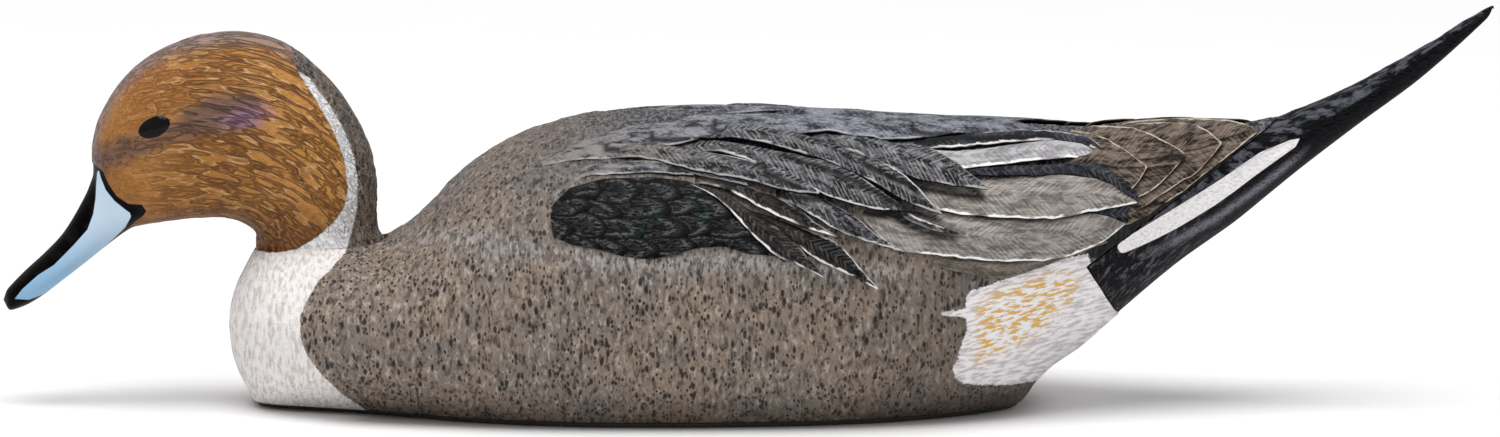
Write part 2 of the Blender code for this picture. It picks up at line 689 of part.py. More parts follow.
# ---------------------------------------------------------------- tail
def make_tail():
    """The long tail feathers as one soft moulding, with a stem that plugs into the body."""
    tail = body_loft("tail_sprig", steps=2)
    place(tail, "tail_rubber")
    keep(tail, notch_prism("tail_extent", -GAP))
    start, along = stem_start(), stem_direction()
    join(tail, rod("tail_stem", start, STEM_R, -6, STEM_LENGTH, along=along, sides=20))
    socket_low, socket_high = WALL + GAP + 0.3, 14.5
    bore, tube, flange = STEM_R + GAP, STEM_R + 2, STEM_R + 3.8
    profile = [
        (bore, socket_high),
        (tube, socket_high),
        (tube, socket_low + 2),
        (flange, socket_low + 2),
        (flange, socket_low),
        (bore, socket_low),
    ]
    turned("tail_socket", profile, start, "nylon", along, hollow=True)
    clip_low = socket_high + GAP
    clip_top, clip_r = clip_low + 1.2, 8.5
    clip = [(bore, clip_top), (clip_r, clip_top), (clip_r, clip_low), (bore, clip_low)]
    turned("tail_clip", clip, start, "steel", along, hollow=True)


make_body_shell()
make_hull_pan()
make_foam_core()
make_ballast()
make_line_tie()
make_vent_plug()
make_neck_swivel()
make_head()
make_tail()
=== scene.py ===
"""Looks for the floating duck decoy: painted skins, carved feathers, floor, lights and camera.

Lengths here are in mm until a mesh is made. Paint outlines are points (x, t) as the duck's side is
seen from SIGHT_DEGREES above level: t is the height of the spot, less its share of the distance from
the plane of symmetry. Everything is mirrored to the other side.
"""

import itertools
import math

import bmesh
import bpy
import numpy as np
from mathutils import Matrix, Vector


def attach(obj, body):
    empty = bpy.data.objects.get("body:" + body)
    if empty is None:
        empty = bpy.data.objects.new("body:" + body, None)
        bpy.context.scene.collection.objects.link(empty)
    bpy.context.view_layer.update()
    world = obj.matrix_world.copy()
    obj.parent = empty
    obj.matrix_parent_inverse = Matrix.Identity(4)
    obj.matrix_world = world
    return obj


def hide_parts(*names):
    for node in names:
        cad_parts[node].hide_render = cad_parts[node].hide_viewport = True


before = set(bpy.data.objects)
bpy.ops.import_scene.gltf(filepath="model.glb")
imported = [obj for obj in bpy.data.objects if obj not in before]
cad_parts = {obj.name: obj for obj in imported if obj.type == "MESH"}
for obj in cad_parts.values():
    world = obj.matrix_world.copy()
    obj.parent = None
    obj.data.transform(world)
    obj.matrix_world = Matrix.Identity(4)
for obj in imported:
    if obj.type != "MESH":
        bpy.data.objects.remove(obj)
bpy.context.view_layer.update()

MM = 0.001
SIGHT_DEGREES = 6.8
SLOPE = math.tan(math.radians(SIGHT_DEGREES))
PAN_SEAM = 2.1
NECK_SEAT = 55.5
HEAD_BASE = 55.8
HEAD_SKIN_BASE = 55.55
NECK_X = -145.8
NECK_R = 22.2
SEAT_R = 22.85
SKIN_STEP = 0.95
TAIL_INSET = 0.35
FEATHER_THICK = 0.7
FEATHER_CROWN = 0.5
CAMERA_DISTANCE = 5.5
CAMERA_HEIGHT = 63.1
VIEW_WIDTH = 0.51
SENSOR_WIDTH = 36.0
UNLIT = (0.002, 0.002, 0.002)

# x, top, bottom, half width, height of the widest point, squareness above it and below it
BODY = [
    (-177.7, 28.0, 28.0, 0.0, 28.0, 2.0, 2.0),
    (-176.8, 35.0, 20.0, 12.0, 28.0, 2.0, 2.0),
    (-174.5, 41.5, 12.0, 21.0, 28.0, 2.0, 2.0),
    (-171.0, 48.5, 5.0, 30.0, 28.0, 2.0, 2.0),
    (-166.5, 54.5, -0.5, 38.0, 28.0, 2.0, 2.0),
    (-160.0, 56.2, -1.5, 45.5, 28.0, 2.0, 2.0),
    (-150.0, 57.0, -2.0, 53.0, 28.5, 2.0, 2.0),
    (-138.0, 57.0, -2.8, 60.0, 29.0, 2.0, 2.0),
    (-127.0, 56.6, -3.6, 65.0, 30.0, 2.0, 2.1),
    (-119.0, 59.4, -4.4, 68.0, 31.0, 2.0, 2.2),
    (-110.0, 66.8, -5.4, 71.0, 32.0, 2.0, 2.3),
    (-100.0, 77.4, -7.0, 74.5, 33.5, 2.0, 2.4),
    (-88.0, 86.2, -9.5, 78.0, 35.0, 2.1, 2.4),
    (-72.0, 93.6, -13.0, 81.0, 37.0, 2.2, 2.4),
    (-50.0, 98.3, -16.0, 83.5, 39.0, 2.3, 2.4),
    (-20.0, 99.2, -17.0, 84.0, 41.0, 2.3, 2.4),
    (20.0, 98.0, -15.0, 82.0, 44.0, 2.3, 2.4),
    (55.0, 95.9, -10.0, 75.0, 48.0, 2.3, 2.3),
    (78.0, 95.2, -4.5, 66.0, 52.0, 2.3, 2.2),
    (90.0, 94.9, -0.5, 59.5, 55.0, 2.2, 2.1),
    (97.0, 94.6, 7.0, 55.0, 57.0, 2.2, 2.0),
    (103.0, 94.2, 13.3, 50.5, 59.5, 2.2, 2.0),
    (112.0, 94.0, 19.5, 44.5, 63.0, 2.1, 2.0),
    (125.0, 95.3, 30.6, 37.0, 69.0, 2.0, 2.0),
    (146.0, 96.3, 47.5, 27.5, 76.0, 2.0, 2.0),
    (166.0, 95.8, 61.8, 19.5, 82.0, 2.0, 2.0),
    (176.0, 97.2, 70.0, 15.5, 86.0, 2.0, 2.0),
    (187.0, 101.2, 79.0, 12.5, 92.0, 2.0, 2.0),
    (207.0, 110.5, 94.4, 9.0, 104.0, 2.0, 2.0),
    (228.0, 122.0, 110.0, 6.5, 117.0, 2.0, 2.0),
    (246.0, 133.3, 126.0, 4.2, 130.0, 2.0, 2.0),
    (252.0, 136.5, 131.8, 2.4, 134.4, 2.0, 2.0),
    (254.0, 135.4, 135.4, 0.0, 135.4, 2.0, 2.0),
]

# upper outline (x, z), lower outline (x, z), half width, share of the way up to the widest point
HEAD = [
    (-254.0, 35.2, -254.0, 35.2, 0.0, 0.5),
    (-252.9, 38.4, -251.6, 31.8, 4.6, 0.5),
    (-250.2, 41.6, -247.0, 33.2, 8.0, 0.45),
    (-246.0, 45.8, -240.6, 36.9, 9.8, 0.4),
    (-239.9, 51.4, -233.4, 42.4, 10.2, 0.35),
    (-233.8, 57.9, -225.9, 48.2, 9.8, 0.35),
    (-228.0, 67.2, -217.8, 54.7, 9.8, 0.35),
    (-224.7, 74.0, -212.7, 58.5, 10.8, 0.38),
    (-223.2, 79.4, -208.6, 60.9, 12.8, 0.42),
    (-223.2, 86.5, -204.2, 61.9, 16.2, 0.45),
    (-221.9, 94.1, -199.8, 62.6, 19.4, 0.47),
    (-217.1, 104.3, -194.7, 63.3, 22.2, 0.48),
    (-208.6, 114.6, -188.9, 64.0, 24.2, 0.48),
    (-196.7, 122.0, -183.1, 64.3, 25.2, 0.48),
    (-185.5, 125.5, -178.3, 64.0, 25.6, 0.48),
    (-174.6, 126.6, -174.6, 63.3, 25.4, 0.48),
    (-165.1, 125.2, -172.2, 62.4, 25.0, 0.48),
    (-154.9, 120.7, -170.5, 61.5, 24.4, 0.48),
    (-145.7, 113.2, -169.3, 60.5, 23.8, 0.49),
    (-137.9, 104.0, -168.5, 59.6, 23.2, 0.49),
    (-132.4, 94.7, -168.1, 58.8, 22.8, 0.5),
    (-128.7, 84.8, -167.9, 58.1, 22.5, 0.5),
    (-127.0, 72.8, -167.9, 57.3, 22.3, 0.5),
    (-127.2, 64.5, -168.0, 56.7, 22.2, 0.5),
    (-126.5, 60.0, -168.0, 56.2, 22.2, 0.5),
    (NECK_X + 22.2, HEAD_SKIN_BASE, NECK_X - 22.2, HEAD_SKIN_BASE, 22.2, 0.5),
]

# ---------------------------------------------------------------- paint outlines, (x, t)
BROWN_HEAD = [
    (-275.6, -33.2), (-275.6, 158.3), (-156.6, 144.7), (-155.9, 122.4), (-154.5, 117.3),
    (-153.3, 113.3), (-146.7, 102.9), (-141.3, 93.1), (-137.5, 83.3), (-136.2, 73.5),
    (-137.5, 66.9), (-141.3, 61.5), (-146.7, 56.6), (-153.3, 52.8), (-159.8, 51.4), (-164.1, 51.6),
    (-167.9, 53.4), (-187.2, 55.7),
]
WHITE_BREAST = [
    (-153.3, 113.3), (-149.4, 111.2), (-142.4, 101.8), (-137.5, 93.1), (-134.3, 84.4),
    (-132.9, 76.7), (-133.2, 66.9), (-134.8, 59.3), (-137.0, 51.6), (-141.3, 46.2), (-145.7, 41.9),
    (-149.4, 35.3), (-151.6, 29.9), (-151.6, 23.3), (-149.4, 16.8), (-144.7, 10.3), (-138.1, 3.7),
    (-130.5, -1.7), (-119.2, -12.7), (-221.2, -26.3), (-221.2, 69.4), (-187.2, 55.7),
    (-164.1, 51.6), (-153.3, 52.8), (-141.3, 61.5), (-137.5, 66.9), (-136.2, 73.5), (-137.5, 83.3),
    (-141.3, 93.1), (-146.7, 102.9),
]
BILL = [
    (-219.2, 79.0), (-217.5, 74.9), (-214.8, 70.8), (-210.8, 68.1), (-206.1, 67.8), (-204.7, 65.7),
    (-205.8, 64.1), (-208.8, 62.0), (-214.8, 56.6), (-216.9, 48.9), (-234.8, 25.0), (-265.4, 21.5),
    (-265.4, 42.1), (-234.8, 79.0), (-222.5, 81.7),
]
BILL_BLUE = [
    (-220.9, 79.6), (-220.2, 77.0), (-218.5, 72.8), (-215.5, 69.1), (-212.2, 66.4), (-210.3, 65.0),
    (-210.0, 63.7), (-212.2, 60.0), (-216.9, 55.6), (-221.5, 51.5), (-228.3, 45.8), (-235.0, 40.4),
    (-240.4, 37.0), (-245.1, 35.3), (-249.8, 35.6), (-247.1, 39.0), (-241.7, 43.8), (-236.3, 47.2),
    (-229.7, 53.9), (-224.9, 59.3), (-222.9, 64.7), (-222.1, 70.1), (-221.9, 74.9), (-221.5, 79.0),
]
VENT = [
    (113.7, 51.0), (104.9, 49.2), (96.9, 46.5), (91.5, 44.5), (83.4, 41.7), (73.6, 38.4),
    (72.5, 35.2), (72.6, 32.5), (64.4, 31.5), (64.4, 30.4), (72.6, 29.4), (72.9, 25.3),
    (70.9, 19.8), (69.9, 15.4), (68.2, 12.3), (69.2, 8.9), (71.4, 7.2), (79.1, 6.5), (88.8, 6.5),
    (96.9, 7.9), (105.2, -12.7), (152.8, 25.0), (125.3, 30.8), (124.6, 31.1), (120.2, 38.4),
    (115.8, 46.2),
]
OCHRE = [
    (76.3, 35.2), (105.2, 46.2), (110.7, 43.8), (108.6, 35.2), (98.4, 25.0), (84.8, 17.4),
    (76.3, 14.0),
]
TAIL_STRIPE = [
    (123.9, 53.7), (125.0, 51.6), (126.3, 51.3), (132.1, 53.7), (137.9, 56.4), (144.0, 59.5),
    (150.5, 63.3), (157.6, 67.7), (164.1, 72.3), (170.2, 77.0), (177.7, 82.4), (185.0, 87.6),
    (186.5, 90.5), (183.1, 89.9), (173.2, 85.8), (166.4, 81.4), (159.6, 76.6), (150.5, 70.8),
    (141.5, 65.3), (135.8, 61.9), (129.7, 58.1), (125.6, 55.4),
]
TAIL_UPPER = [
    (187.5, 92.0), (210.3, 105.7), (230.4, 120.4), (248.7, 132.4), (261.6, 144.7), (220.8, 158.3),
    (118.8, 103.6), (84.8, 55.7), (124.3, 56.4), (132.1, 59.9), (144.0, 67.4), (157.6, 75.6),
    (171.2, 83.8), (183.1, 90.6),
]
LORE = [
    (-223.9, 83.8), (-218.5, 87.2), (-209.6, 89.6), (-200.8, 91.0), (-195.3, 94.4), (-188.5, 99.5),
    (-179.7, 104.3), (-171.5, 104.3), (-166.1, 101.6), (-167.5, 97.5), (-174.2, 94.7),
    (-185.5, 93.0), (-191.9, 91.3), (-198.7, 89.3), (-204.2, 85.8), (-210.3, 83.1), (-216.4, 81.4),
    (-221.9, 79.7),
]
MAUVE = [
    (-179.7, 96.4), (-174.9, 99.5), (-168.5, 101.6), (-162.7, 101.2), (-161.3, 99.2),
    (-166.1, 96.1), (-173.6, 94.1), (-178.3, 93.7),
]
DARK_RUMP = [
    (101.8, 67.7), (130.7, 69.4), (135.8, 73.5), (190.9, 99.5), (190.9, 86.5), (125.0, 46.2),
    (112.7, 51.0), (115.4, 54.7), (105.9, 56.4),
]
FLANK_RIDGE = [
    (-120.9, 55.7), (-105.6, 58.5), (-88.6, 55.7), (-71.6, 52.3), (-51.2, 49.6), (-24.0, 48.2),
    (3.2, 49.6), (33.8, 47.2), (61.0, 43.8),
]
NOTCH = ((113.7, 51.5), (171.7, 92.7), (125.3, 30.8))
HAIR_CENTRE = (-195.0, 10.0)
HEAD_OUTLINES = {
    "brown": BROWN_HEAD,
    "white": WHITE_BREAST,
    "bill": BILL,
    "bill_blue": BILL_BLUE,
    "lore": LORE,
    "mauve": MAUVE,
}


# ---------------------------------------------------------------- small tools
def smooth_rows(rows, steps):
    """The rows with others put between them on monotone cubic curves."""
    rows = np.array(rows, float)
    rise = np.diff(rows, axis=0)
    slope = np.vstack([rise[:1], np.zeros_like(rise[1:]), rise[-1:]])
    before, after = rise[:-1], rise[1:]
    same_way = before * after > 0
    total = np.where(same_way, before + after, 1.0)
    slope[1:-1] = np.where(same_way, 2 * before * after / total, 0.0)
    made = []
    for i in range(len(rise)):
        for t in np.arange(steps) / steps:
            near = (1 + 2 * t) * (1 - t) ** 2 * rows[i] + t * (1 - t) ** 2 * slope[i]
            far = t * t * (3 - 2 * t) * rows[i + 1] + t * t * (t - 1) * slope[i + 1]
            made.append(near + far)
    return np.array([*made, rows[-1]])


def even_rows(rows, step, columns):
    """Rows about one step apart, by the largest change in any of the given columns."""
    fine = smooth_rows(rows, 40)
    gaps = np.abs(np.diff(fine[:, columns], axis=0)).max(axis=1)
    run = np.concatenate([[0], np.cumsum(gaps)])
    marks = np.linspace(0, run[-1], int(run[-1] / step) + 1)
    return np.stack([np.interp(marks, run, fine[:, c]) for c in range(fine.shape[1])], axis=1)


def even_curve(points, count):
    """A polyline's points put the same distance apart."""
    points = np.array(points, float)
    lengths = np.linalg.norm(np.diff(points, axis=0), axis=1)
    run = np.concatenate([[0], np.cumsum(lengths)])
    marks = np.linspace(0, run[-1], count)
    return np.stack([np.interp(marks, run, points[:, c]) for c in range(points.shape[1])], axis=1)


def soft_curve(points, count):
    """A smooth curve through a few points, with its points the same distance apart."""
    return even_curve(smooth_rows(points, 12), count)


def half_section(top, bottom, half_width, widest, upper_power, lower_power, count):
    """Points down one side of a section, at -Y, from its top centre to its bottom centre."""
    top, bottom = np.array(top, float), np.array(bottom, float)
    middle = bottom + (top - bottom) * widest
    angles = np.linspace(math.pi / 2, -math.pi / 2, 181)
    up, across = np.sin(angles), np.clip(np.cos(angles), 0, 1)
    power = np.where(up > 0, 2 / upper_power, 2 / lower_power)
    reach = np.where((up > 0)[:, None], top - middle, bottom - middle)
    along = middle + reach * (np.abs(up) ** power)[:, None]
    points = np.stack([along[:, 0], -half_width * across**power, along[:, 1]], axis=1)
    return even_curve(points, count)


def body_section(row, count):
    x, top, bottom, half_width, wide_z, upper, lower = row
    widest = (wide_z - bottom) / max(top - bottom, 0.001)
    return half_section((x, top), (x, bottom), half_width, widest, upper, lower, count)


def head_section(row, count):
    top_x, top_z, bottom_x, bottom_z, half_width, widest = row
    return half_section((top_x, top_z), (bottom_x, bottom_z), half_width, widest, 2.1, 2.1, count)


def signed_distance(points, outline):
    """How far inside a closed outline each point is, in mm. It is negative outside."""
    outline = np.array(outline, float)
    ends = np.roll(outline, -1, axis=0)
    best = np.full(len(points), 1e9)
    inside = np.zeros(len(points), bool)
    for start, end in zip(outline, ends):
        edge = end - start
        share = np.clip((points - start) @ edge / max(edge @ edge, 1e-9), 0, 1)
        best = np.minimum(best, np.linalg.norm(points - start - share[:, None] * edge, axis=1))
        crosses = (start[1] > points[:, 1]) != (end[1] > points[:, 1])
        rise = edge[1] if abs(edge[1]) > 1e-9 else 1e-9
        at = start[0] + (points[:, 1] - start[1]) / rise * edge[0]
        inside ^= crosses & (points[:, 0] < at)
    return np.where(inside, best, -best)


def height_over(points, line):
    """How far each point's t lies above a line that runs along x."""
    line = np.array(line, float)
    return points[:, 1] - np.interp(points[:, 0], line[:, 0], line[:, 1])


def softly(value, low, high):
    share = np.clip((value - low) / (high - low), 0, 1)
    return share * share * (3 - 2 * share)


def paint_points(places):
    """(x, t) for points in space, in mm."""
    return np.stack([places[:, 0], places[:, 2] - np.abs(places[:, 1]) * SLOPE], axis=1)


def link(name, data):
    thing = bpy.data.objects.new(name, data)
    bpy.context.scene.collection.objects.link(thing)
    return thing


def link_mesh(name, mesh, material):
    thing = link(name, mesh)
    mesh.materials.clear()
    mesh.materials.append(material)
    mesh.shade_smooth()
    return thing


def make_mesh(name, points, faces):
    mesh = bpy.data.meshes.new(name)
    mesh.from_pydata((np.asarray(points) * MM).tolist(), [], faces)
    mesh.validate()
    return mesh


def vertex_array(mesh, what="co"):
    flat = np.empty(len(mesh.vertices) * 3)
    source = mesh.vertices if what == "co" else mesh.vertex_normals
    source.foreach_get("co" if what == "co" else "vector", flat)
    return flat.reshape(-1, 3)


def set_points(mesh, points):
    mesh.vertices.foreach_set("co", np.ascontiguousarray(points).ravel())
    mesh.update()


def put(mesh, name, values):
    """Stores one number for each vertex, for the material to read."""
    attribute = mesh.attributes.get(name) or mesh.attributes.new(name, "FLOAT", "POINT")
    attribute.data.foreach_set("value", np.ascontiguousarray(values, dtype=np.float32))


def face_out(shape):
    bmesh.ops.recalc_face_normals(shape, faces=shape.faces)
    if shape.calc_volume(signed=True) < 0:
        bmesh.ops.reverse_faces(shape, faces=shape.faces)


def turn_out(mesh):
    """Turns every face of a closed mesh outward."""
    shape = bmesh.new()
    shape.from_mesh(mesh)
    face_out(shape)
    shape.to_mesh(mesh)
    shape.free()


def skin_mesh(name, sections, layers=None):
    """A closed mesh through half sections and their mirror images. Sections are poles at each end
    when their points coincide. layers are per-point numbers, by name, to keep with the vertices."""
    count = len(sections[0])
    rings, points, values = [], [], {key: [] for key in layers or {}}
    for s, half in enumerate(sections):
        pole = np.abs(half[:, 1]).max() < 0.01 and np.ptp(half[:, 2]) < 0.01
        ids = []
        if pole:
            ids = [len(points)] * (2 * count - 2)
            points.append(half[0])
            for key in values:
                values[key].append(layers[key][s][0])
        else:
            mirrored = half[-2:0:-1] * (1, -1, 1)
            order = [*range(count), *range(count - 2, 0, -1)]
            ids = list(range(len(points), len(points) + len(order)))
            points.extend([*half, *mirrored])
            for key in values:
                values[key].extend(layers[key][s][i] for i in order)
        rings.append(ids)
    faces = []
    for first, second in zip(rings, rings[1:]):
        for i in range(len(first)):
            j = (i + 1) % len(first)
            corners = list(dict.fromkeys((first[i], first[j], second[j], second[i])))
            if len(corners) > 2:
                faces.append(corners)
    for ring in (rings[0], rings[-1]):
        if ring[0] != ring[1]:
            faces.append(list(ring))
    mesh = bpy.data.meshes.new(name)
    mesh.from_pydata((np.array(points) * MM).tolist(), [], faces)
    for key, numbers in values.items():
        put(mesh, key, np.array(numbers))
    turn_out(mesh)
    return mesh


def cut_below(mesh, z):
    """Cuts a mesh off flat at a height and closes it."""
    shape = bmesh.new()
    shape.from_mesh(mesh)
    everything = [*shape.verts, *shape.edges, *shape.faces]
    done = bmesh.ops.bisect_plane(
        shape, geom=everything, plane_co=(0, 0, z * MM), plane_no=(0, 0, 1), clear_inner=True
    )
    rim = [e for e in done["geom_cut"] if isinstance(e, bmesh.types.BMEdge)]
    bmesh.ops.edgeloop_fill(shape, edges=rim)
    face_out(shape)
    shape.to_mesh(mesh)
    shape.free()


def boolean(thing, operation, other):
    modifier = thing.modifiers.new("shape", "BOOLEAN")
    modifier.operation = operation
    modifier.object = other
    modifier.solver = "MANIFOLD"
    bpy.context.view_layer.update()
    evaluated = thing.evaluated_get(bpy.context.evaluated_depsgraph_get())
    mesh = bpy.data.meshes.new_from_object(evaluated)
    thing.modifiers.clear()
    old = thing.data
    thing.data = mesh
    bpy.data.meshes.remove(old)
    bpy.data.objects.remove(other)


# ---------------------------------------------------------------- materials
class Paint:
    """A material being made. Each method adds a node and returns what comes out of it."""

    def __init__(self, name, roughness=0.6, metallic=0.0, specular=0.5):
        self.material = bpy.data.materials.new(name)
        self.material.use_nodes = True
        self.nodes = self.material.node_tree.nodes
        self.links = self.material.node_tree.links
        self.shader = self.nodes["Principled BSDF"]
        self.shader.inputs["Roughness"].default_value = roughness
        self.shader.inputs["Metallic"].default_value = metallic
        self.shader.inputs["Specular IOR Level"].default_value = specular

    def feed(self, socket, value):
        if isinstance(value, bpy.types.NodeSocket):
            self.links.new(value, socket)
        elif isinstance(value, (tuple, list)) and len(value) == 3 and socket.type == "RGBA":
            socket.default_value = (*value, 1.0)
        else:
            socket.default_value = value

    def number(self, name):
        node = self.nodes.new("ShaderNodeAttribute")
        node.attribute_name = name
        return node.outputs["Fac"]

    def math(self, operation, first, second=0.0, third=0.0):
        node = self.nodes.new("ShaderNodeMath")
        node.operation = operation
        for socket, value in zip(node.inputs, (first, second, third)):
            self.feed(socket, value)
        return node.outputs[0]

    def times(self, first, second):
        return self.math("MULTIPLY", first, second)

    def fade(self, value, low, high, first, second):
        """The first colour where value is at low, and the second where it is at high."""
        return self.mix(self.ramp(value, low, high), first, second)

    def wash(self, share, most, colour, tone):
        """A tone laid over a colour, by share times most."""
        return self.mix(self.times(share, most), colour, tone)

    def ramp(self, value, low, high):
        """0 below low and 1 above high, smooth between. low may be the larger."""
        node = self.nodes.new("ShaderNodeMapRange")
        node.interpolation_type = "SMOOTHSTEP"
        self.feed(node.inputs["Value"], value)
        flip = low > high
        self.feed(node.inputs["From Min"], min(low, high))
        self.feed(node.inputs["From Max"], max(low, high))
        node.inputs["To Min"].default_value = 1.0 if flip else 0.0
        node.inputs["To Max"].default_value = 0.0 if flip else 1.0
        return node.outputs["Result"]

    def mix(self, share, first, second, blend="MIX"):
        node = self.nodes.new("ShaderNodeMix")
        node.data_type = "RGBA"
        node.blend_type = blend
        self.feed(node.inputs["Factor"], share)
        self.feed(node.inputs["A"], first)
        self.feed(node.inputs["B"], second)
        return node.outputs["Result"]

    def vector(self, x, y, z):
        node = self.nodes.new("ShaderNodeCombineXYZ")
        for socket, value in zip(node.inputs, (x, y, z)):
            self.feed(socket, value)
        return node.outputs[0]

    def space(self, x=1.0, y=1.0, z=1.0):
        """The object's own coordinates in mm, times a scale for each axis."""
        place = self.nodes.new("ShaderNodeTexCoord")
        node = self.nodes.new("ShaderNodeVectorMath")
        node.operation = "MULTIPLY"
        self.links.new(place.outputs["Object"], node.inputs[0])
        node.inputs[1].default_value = (x / MM, y / MM, z / MM)
        return node.outputs[0]

    def axis(self, name):
        """One of the object's own coordinates in mm."""
        parts = self.nodes.new("ShaderNodeSeparateXYZ")
        self.links.new(self.space(), parts.inputs[0])
        return parts.outputs[name]

    def shift(self, vector, amount, by):
        """A vector moved by noise: amount of it, from a noise of the given scale."""
        noise = self.nodes.new("ShaderNodeTexNoise")
        self.links.new(vector, noise.inputs["Vector"])
        noise.inputs["Scale"].default_value = by
        node = self.nodes.new("ShaderNodeVectorMath")
        node.operation = "MULTIPLY_ADD"
        self.links.new(noise.outputs["Color"], node.inputs[0])
        node.inputs[1].default_value = (amount, amount, amount)
        self.links.new(vector, node.inputs[2])
        return node.outputs[0]

    def noise(self, vector, scale=1.0, detail=2.0, roughness=0.5, distortion=0.0):
        node = self.nodes.new("ShaderNodeTexNoise")
        self.links.new(vector, node.inputs["Vector"])
        node.inputs["Scale"].default_value = scale
        node.inputs["Detail"].default_value = detail
        node.inputs["Roughness"].default_value = roughness
        node.inputs["Distortion"].default_value = distortion
        return node.outputs["Fac"]

    def cells(self, vector):
        """Distance to the nearest of some scattered points, and a random number for each of them."""
        node = self.nodes.new("ShaderNodeTexVoronoi")
        self.links.new(vector, node.inputs["Vector"])
        node.inputs["Scale"].default_value = 1.0
        parts = self.nodes.new("ShaderNodeSeparateColor")
        self.links.new(node.outputs["Color"], parts.inputs["Color"])
        return node.outputs["Distance"], parts.outputs[0]

    def bump(self, height, distance, strength=1.0, normal=None):
        """distance is the height that a value of 1 stands for, in mm."""
        node = self.nodes.new("ShaderNodeBump")
        node.inputs["Distance"].default_value = distance * MM
        node.inputs["Strength"].default_value = strength
        self.feed(node.inputs["Height"], height)
        if normal is not None:
            self.feed(node.inputs["Normal"], normal)
        return node.outputs["Normal"]

    def finish(self, colour, normal=None, roughness=None, specular=None):
        self.feed(self.shader.inputs["Base Color"], colour)
        if normal is not None:
            self.feed(self.shader.inputs["Normal"], normal)
        if roughness is not None:
            self.feed(self.shader.inputs["Roughness"], roughness)
        if specular is not None:
            self.feed(self.shader.inputs["Specular IOR Level"], specular)
        return self.material


def shade(red, green, blue):
    """A colour given as it looks on a screen, 0 to 255."""
    return tuple((c / 255) ** 2.2 for c in (red, green, blue))


def rough_edge(paint, distance, amount=0.7, size=0.9, soft=0.25):
    """1 inside an outline, from the distance inside it, with a hand-painted edge."""
    wobble = paint.math("SUBTRACT", paint.noise(paint.space(), size, 2.0), 0.5)
    moved = paint.math("MULTIPLY_ADD", wobble, amount * 2, distance)
    return paint.ramp(moved, -soft, soft)


def dashes(paint, size, share, turn):
    """Scattered short strokes in the given cell size (mm). Only a share of the cells hold one."""
    width, tall = size
    space = paint.space(1 / width, 0.55 / width, 1 / tall)
    distance, luck = paint.cells(paint.shift(space, 0.7, turn))
    held = paint.ramp(luck, share + 0.02, share - 0.02)
    return paint.times(paint.ramp(distance, 0.42, 0.2), held)


def vermiculated(paint):
    """The flanks' fine upright strokes: a colour, and a height to carve by."""
    space = paint.shift(paint.space(0.62, 0.26, 0.28), 1.6, 0.35)
    grain = paint.noise(space, 1.0, 3.0, 0.62, 0.4)
    broad = paint.noise(paint.space(0.045, 0.045, 0.06), 1.0, 2.0)
    patchy = paint.noise(paint.shift(paint.space(0.2, 0.12, 0.14), 1.5, 0.5), 1.0, 2.0)
    base = paint.fade(broad, 0.35, 0.65, shade(137, 121, 108), shade(123, 114, 107))
    colour = paint.fade(grain, 0.53, 0.68, base, shade(170, 158, 146))
    colour = paint.fade(grain, 0.49, 0.35, colour, shade(86, 77, 70))
    rear = paint.times(paint.ramp(paint.axis("X"), 10.0, 100.0), 0.6)
    colour = paint.mix(rear, colour, shade(74, 68, 64))
    strokes = dashes(paint, (1.9, 4.4), 0.55, 0.5)
    small = dashes(paint, (1.15, 2.1), 0.5, 0.8)
    strength = paint.ramp(patchy, 0.3, 0.5)
    marks = paint.times(paint.math("MAXIMUM", strokes, small), strength)
    colour = paint.wash(marks, 0.92, colour, shade(32, 28, 26))
    height = paint.math("MULTIPLY_ADD", marks, -0.5, grain)
    return colour, height


def body_paint():
    paint = Paint("painted_body", 0.72, specular=0.3)
    colour, carved = vermiculated(paint)
    hatch = paint.noise(paint.shift(paint.space(0.8, 0.22, 0.3), 1.0, 0.4), 1.0, 2.0, 0.6)
    # pale hatched band on the raised flank ridge: pale hatch strokes, and partly a painted highlight
    # where the ridge meets the light
    pale = paint.fade(hatch, 0.42, 0.56, shade(84, 80, 78), shade(186, 182, 180))
    colour = paint.wash(paint.number("ridge"), 0.5, colour, pale)
    high = paint.ramp(paint.number("height"), 50.0, 84.0)
    colour = paint.wash(high, 0.3, colour, shade(84, 82, 84))
    # painted shade: darker towards the bottom, where the sides tuck in under the body
    low = paint.ramp(paint.number("height"), 18.0, 2.0)
    colour = paint.wash(low, 0.45, colour, shade(62, 55, 49))
    slate = paint.fade(hatch, 0.4, 0.62, shade(30, 31, 36), shade(112, 112, 118))
    colour = paint.mix(paint.number("slate"), colour, slate)
    silk = paint.noise(paint.shift(paint.space(0.9, 0.25, 0.25), 0.8, 0.4), 1.0, 2.5, 0.6)
    white = paint.fade(silk, 0.3, 0.6, shade(196, 188, 184), shade(236, 232, 230))
    colour = paint.mix(rough_edge(paint, paint.number("white"), 0.5), colour, white)
    black = paint.fade(silk, 0.4, 0.65, shade(10, 10, 11), shade(40, 39, 42))
    colour = paint.mix(rough_edge(paint, paint.number("dark"), 0.5), colour, black)
    rump, streaks = vent_colour(paint)
    colour = paint.mix(rough_edge(paint, paint.number("vent"), 1.1), colour, rump)
    brown = paint.fade(silk, 0.4, 0.6, shade(78, 42, 16), shade(132, 80, 34))
    colour = paint.mix(rough_edge(paint, paint.number("brown"), 0.5), colour, brown)
    in_white = paint.ramp(paint.number("white"), -0.5, 0.5)
    in_vent = paint.ramp(paint.number("vent"), -0.5, 0.5)
    fine = paint.noise(paint.space(2.2, 0.9, 0.9), 1.0, 3.0)
    soft = paint.mix(0.5, silk, streaks)
    surface = paint.mix(paint.math("MAXIMUM", in_white, in_vent), carved, soft)
    normal = paint.bump(surface, 1.1, 1.0)
    normal = paint.bump(fine, 0.25, 0.6, normal)
    return paint.finish(colour, normal)


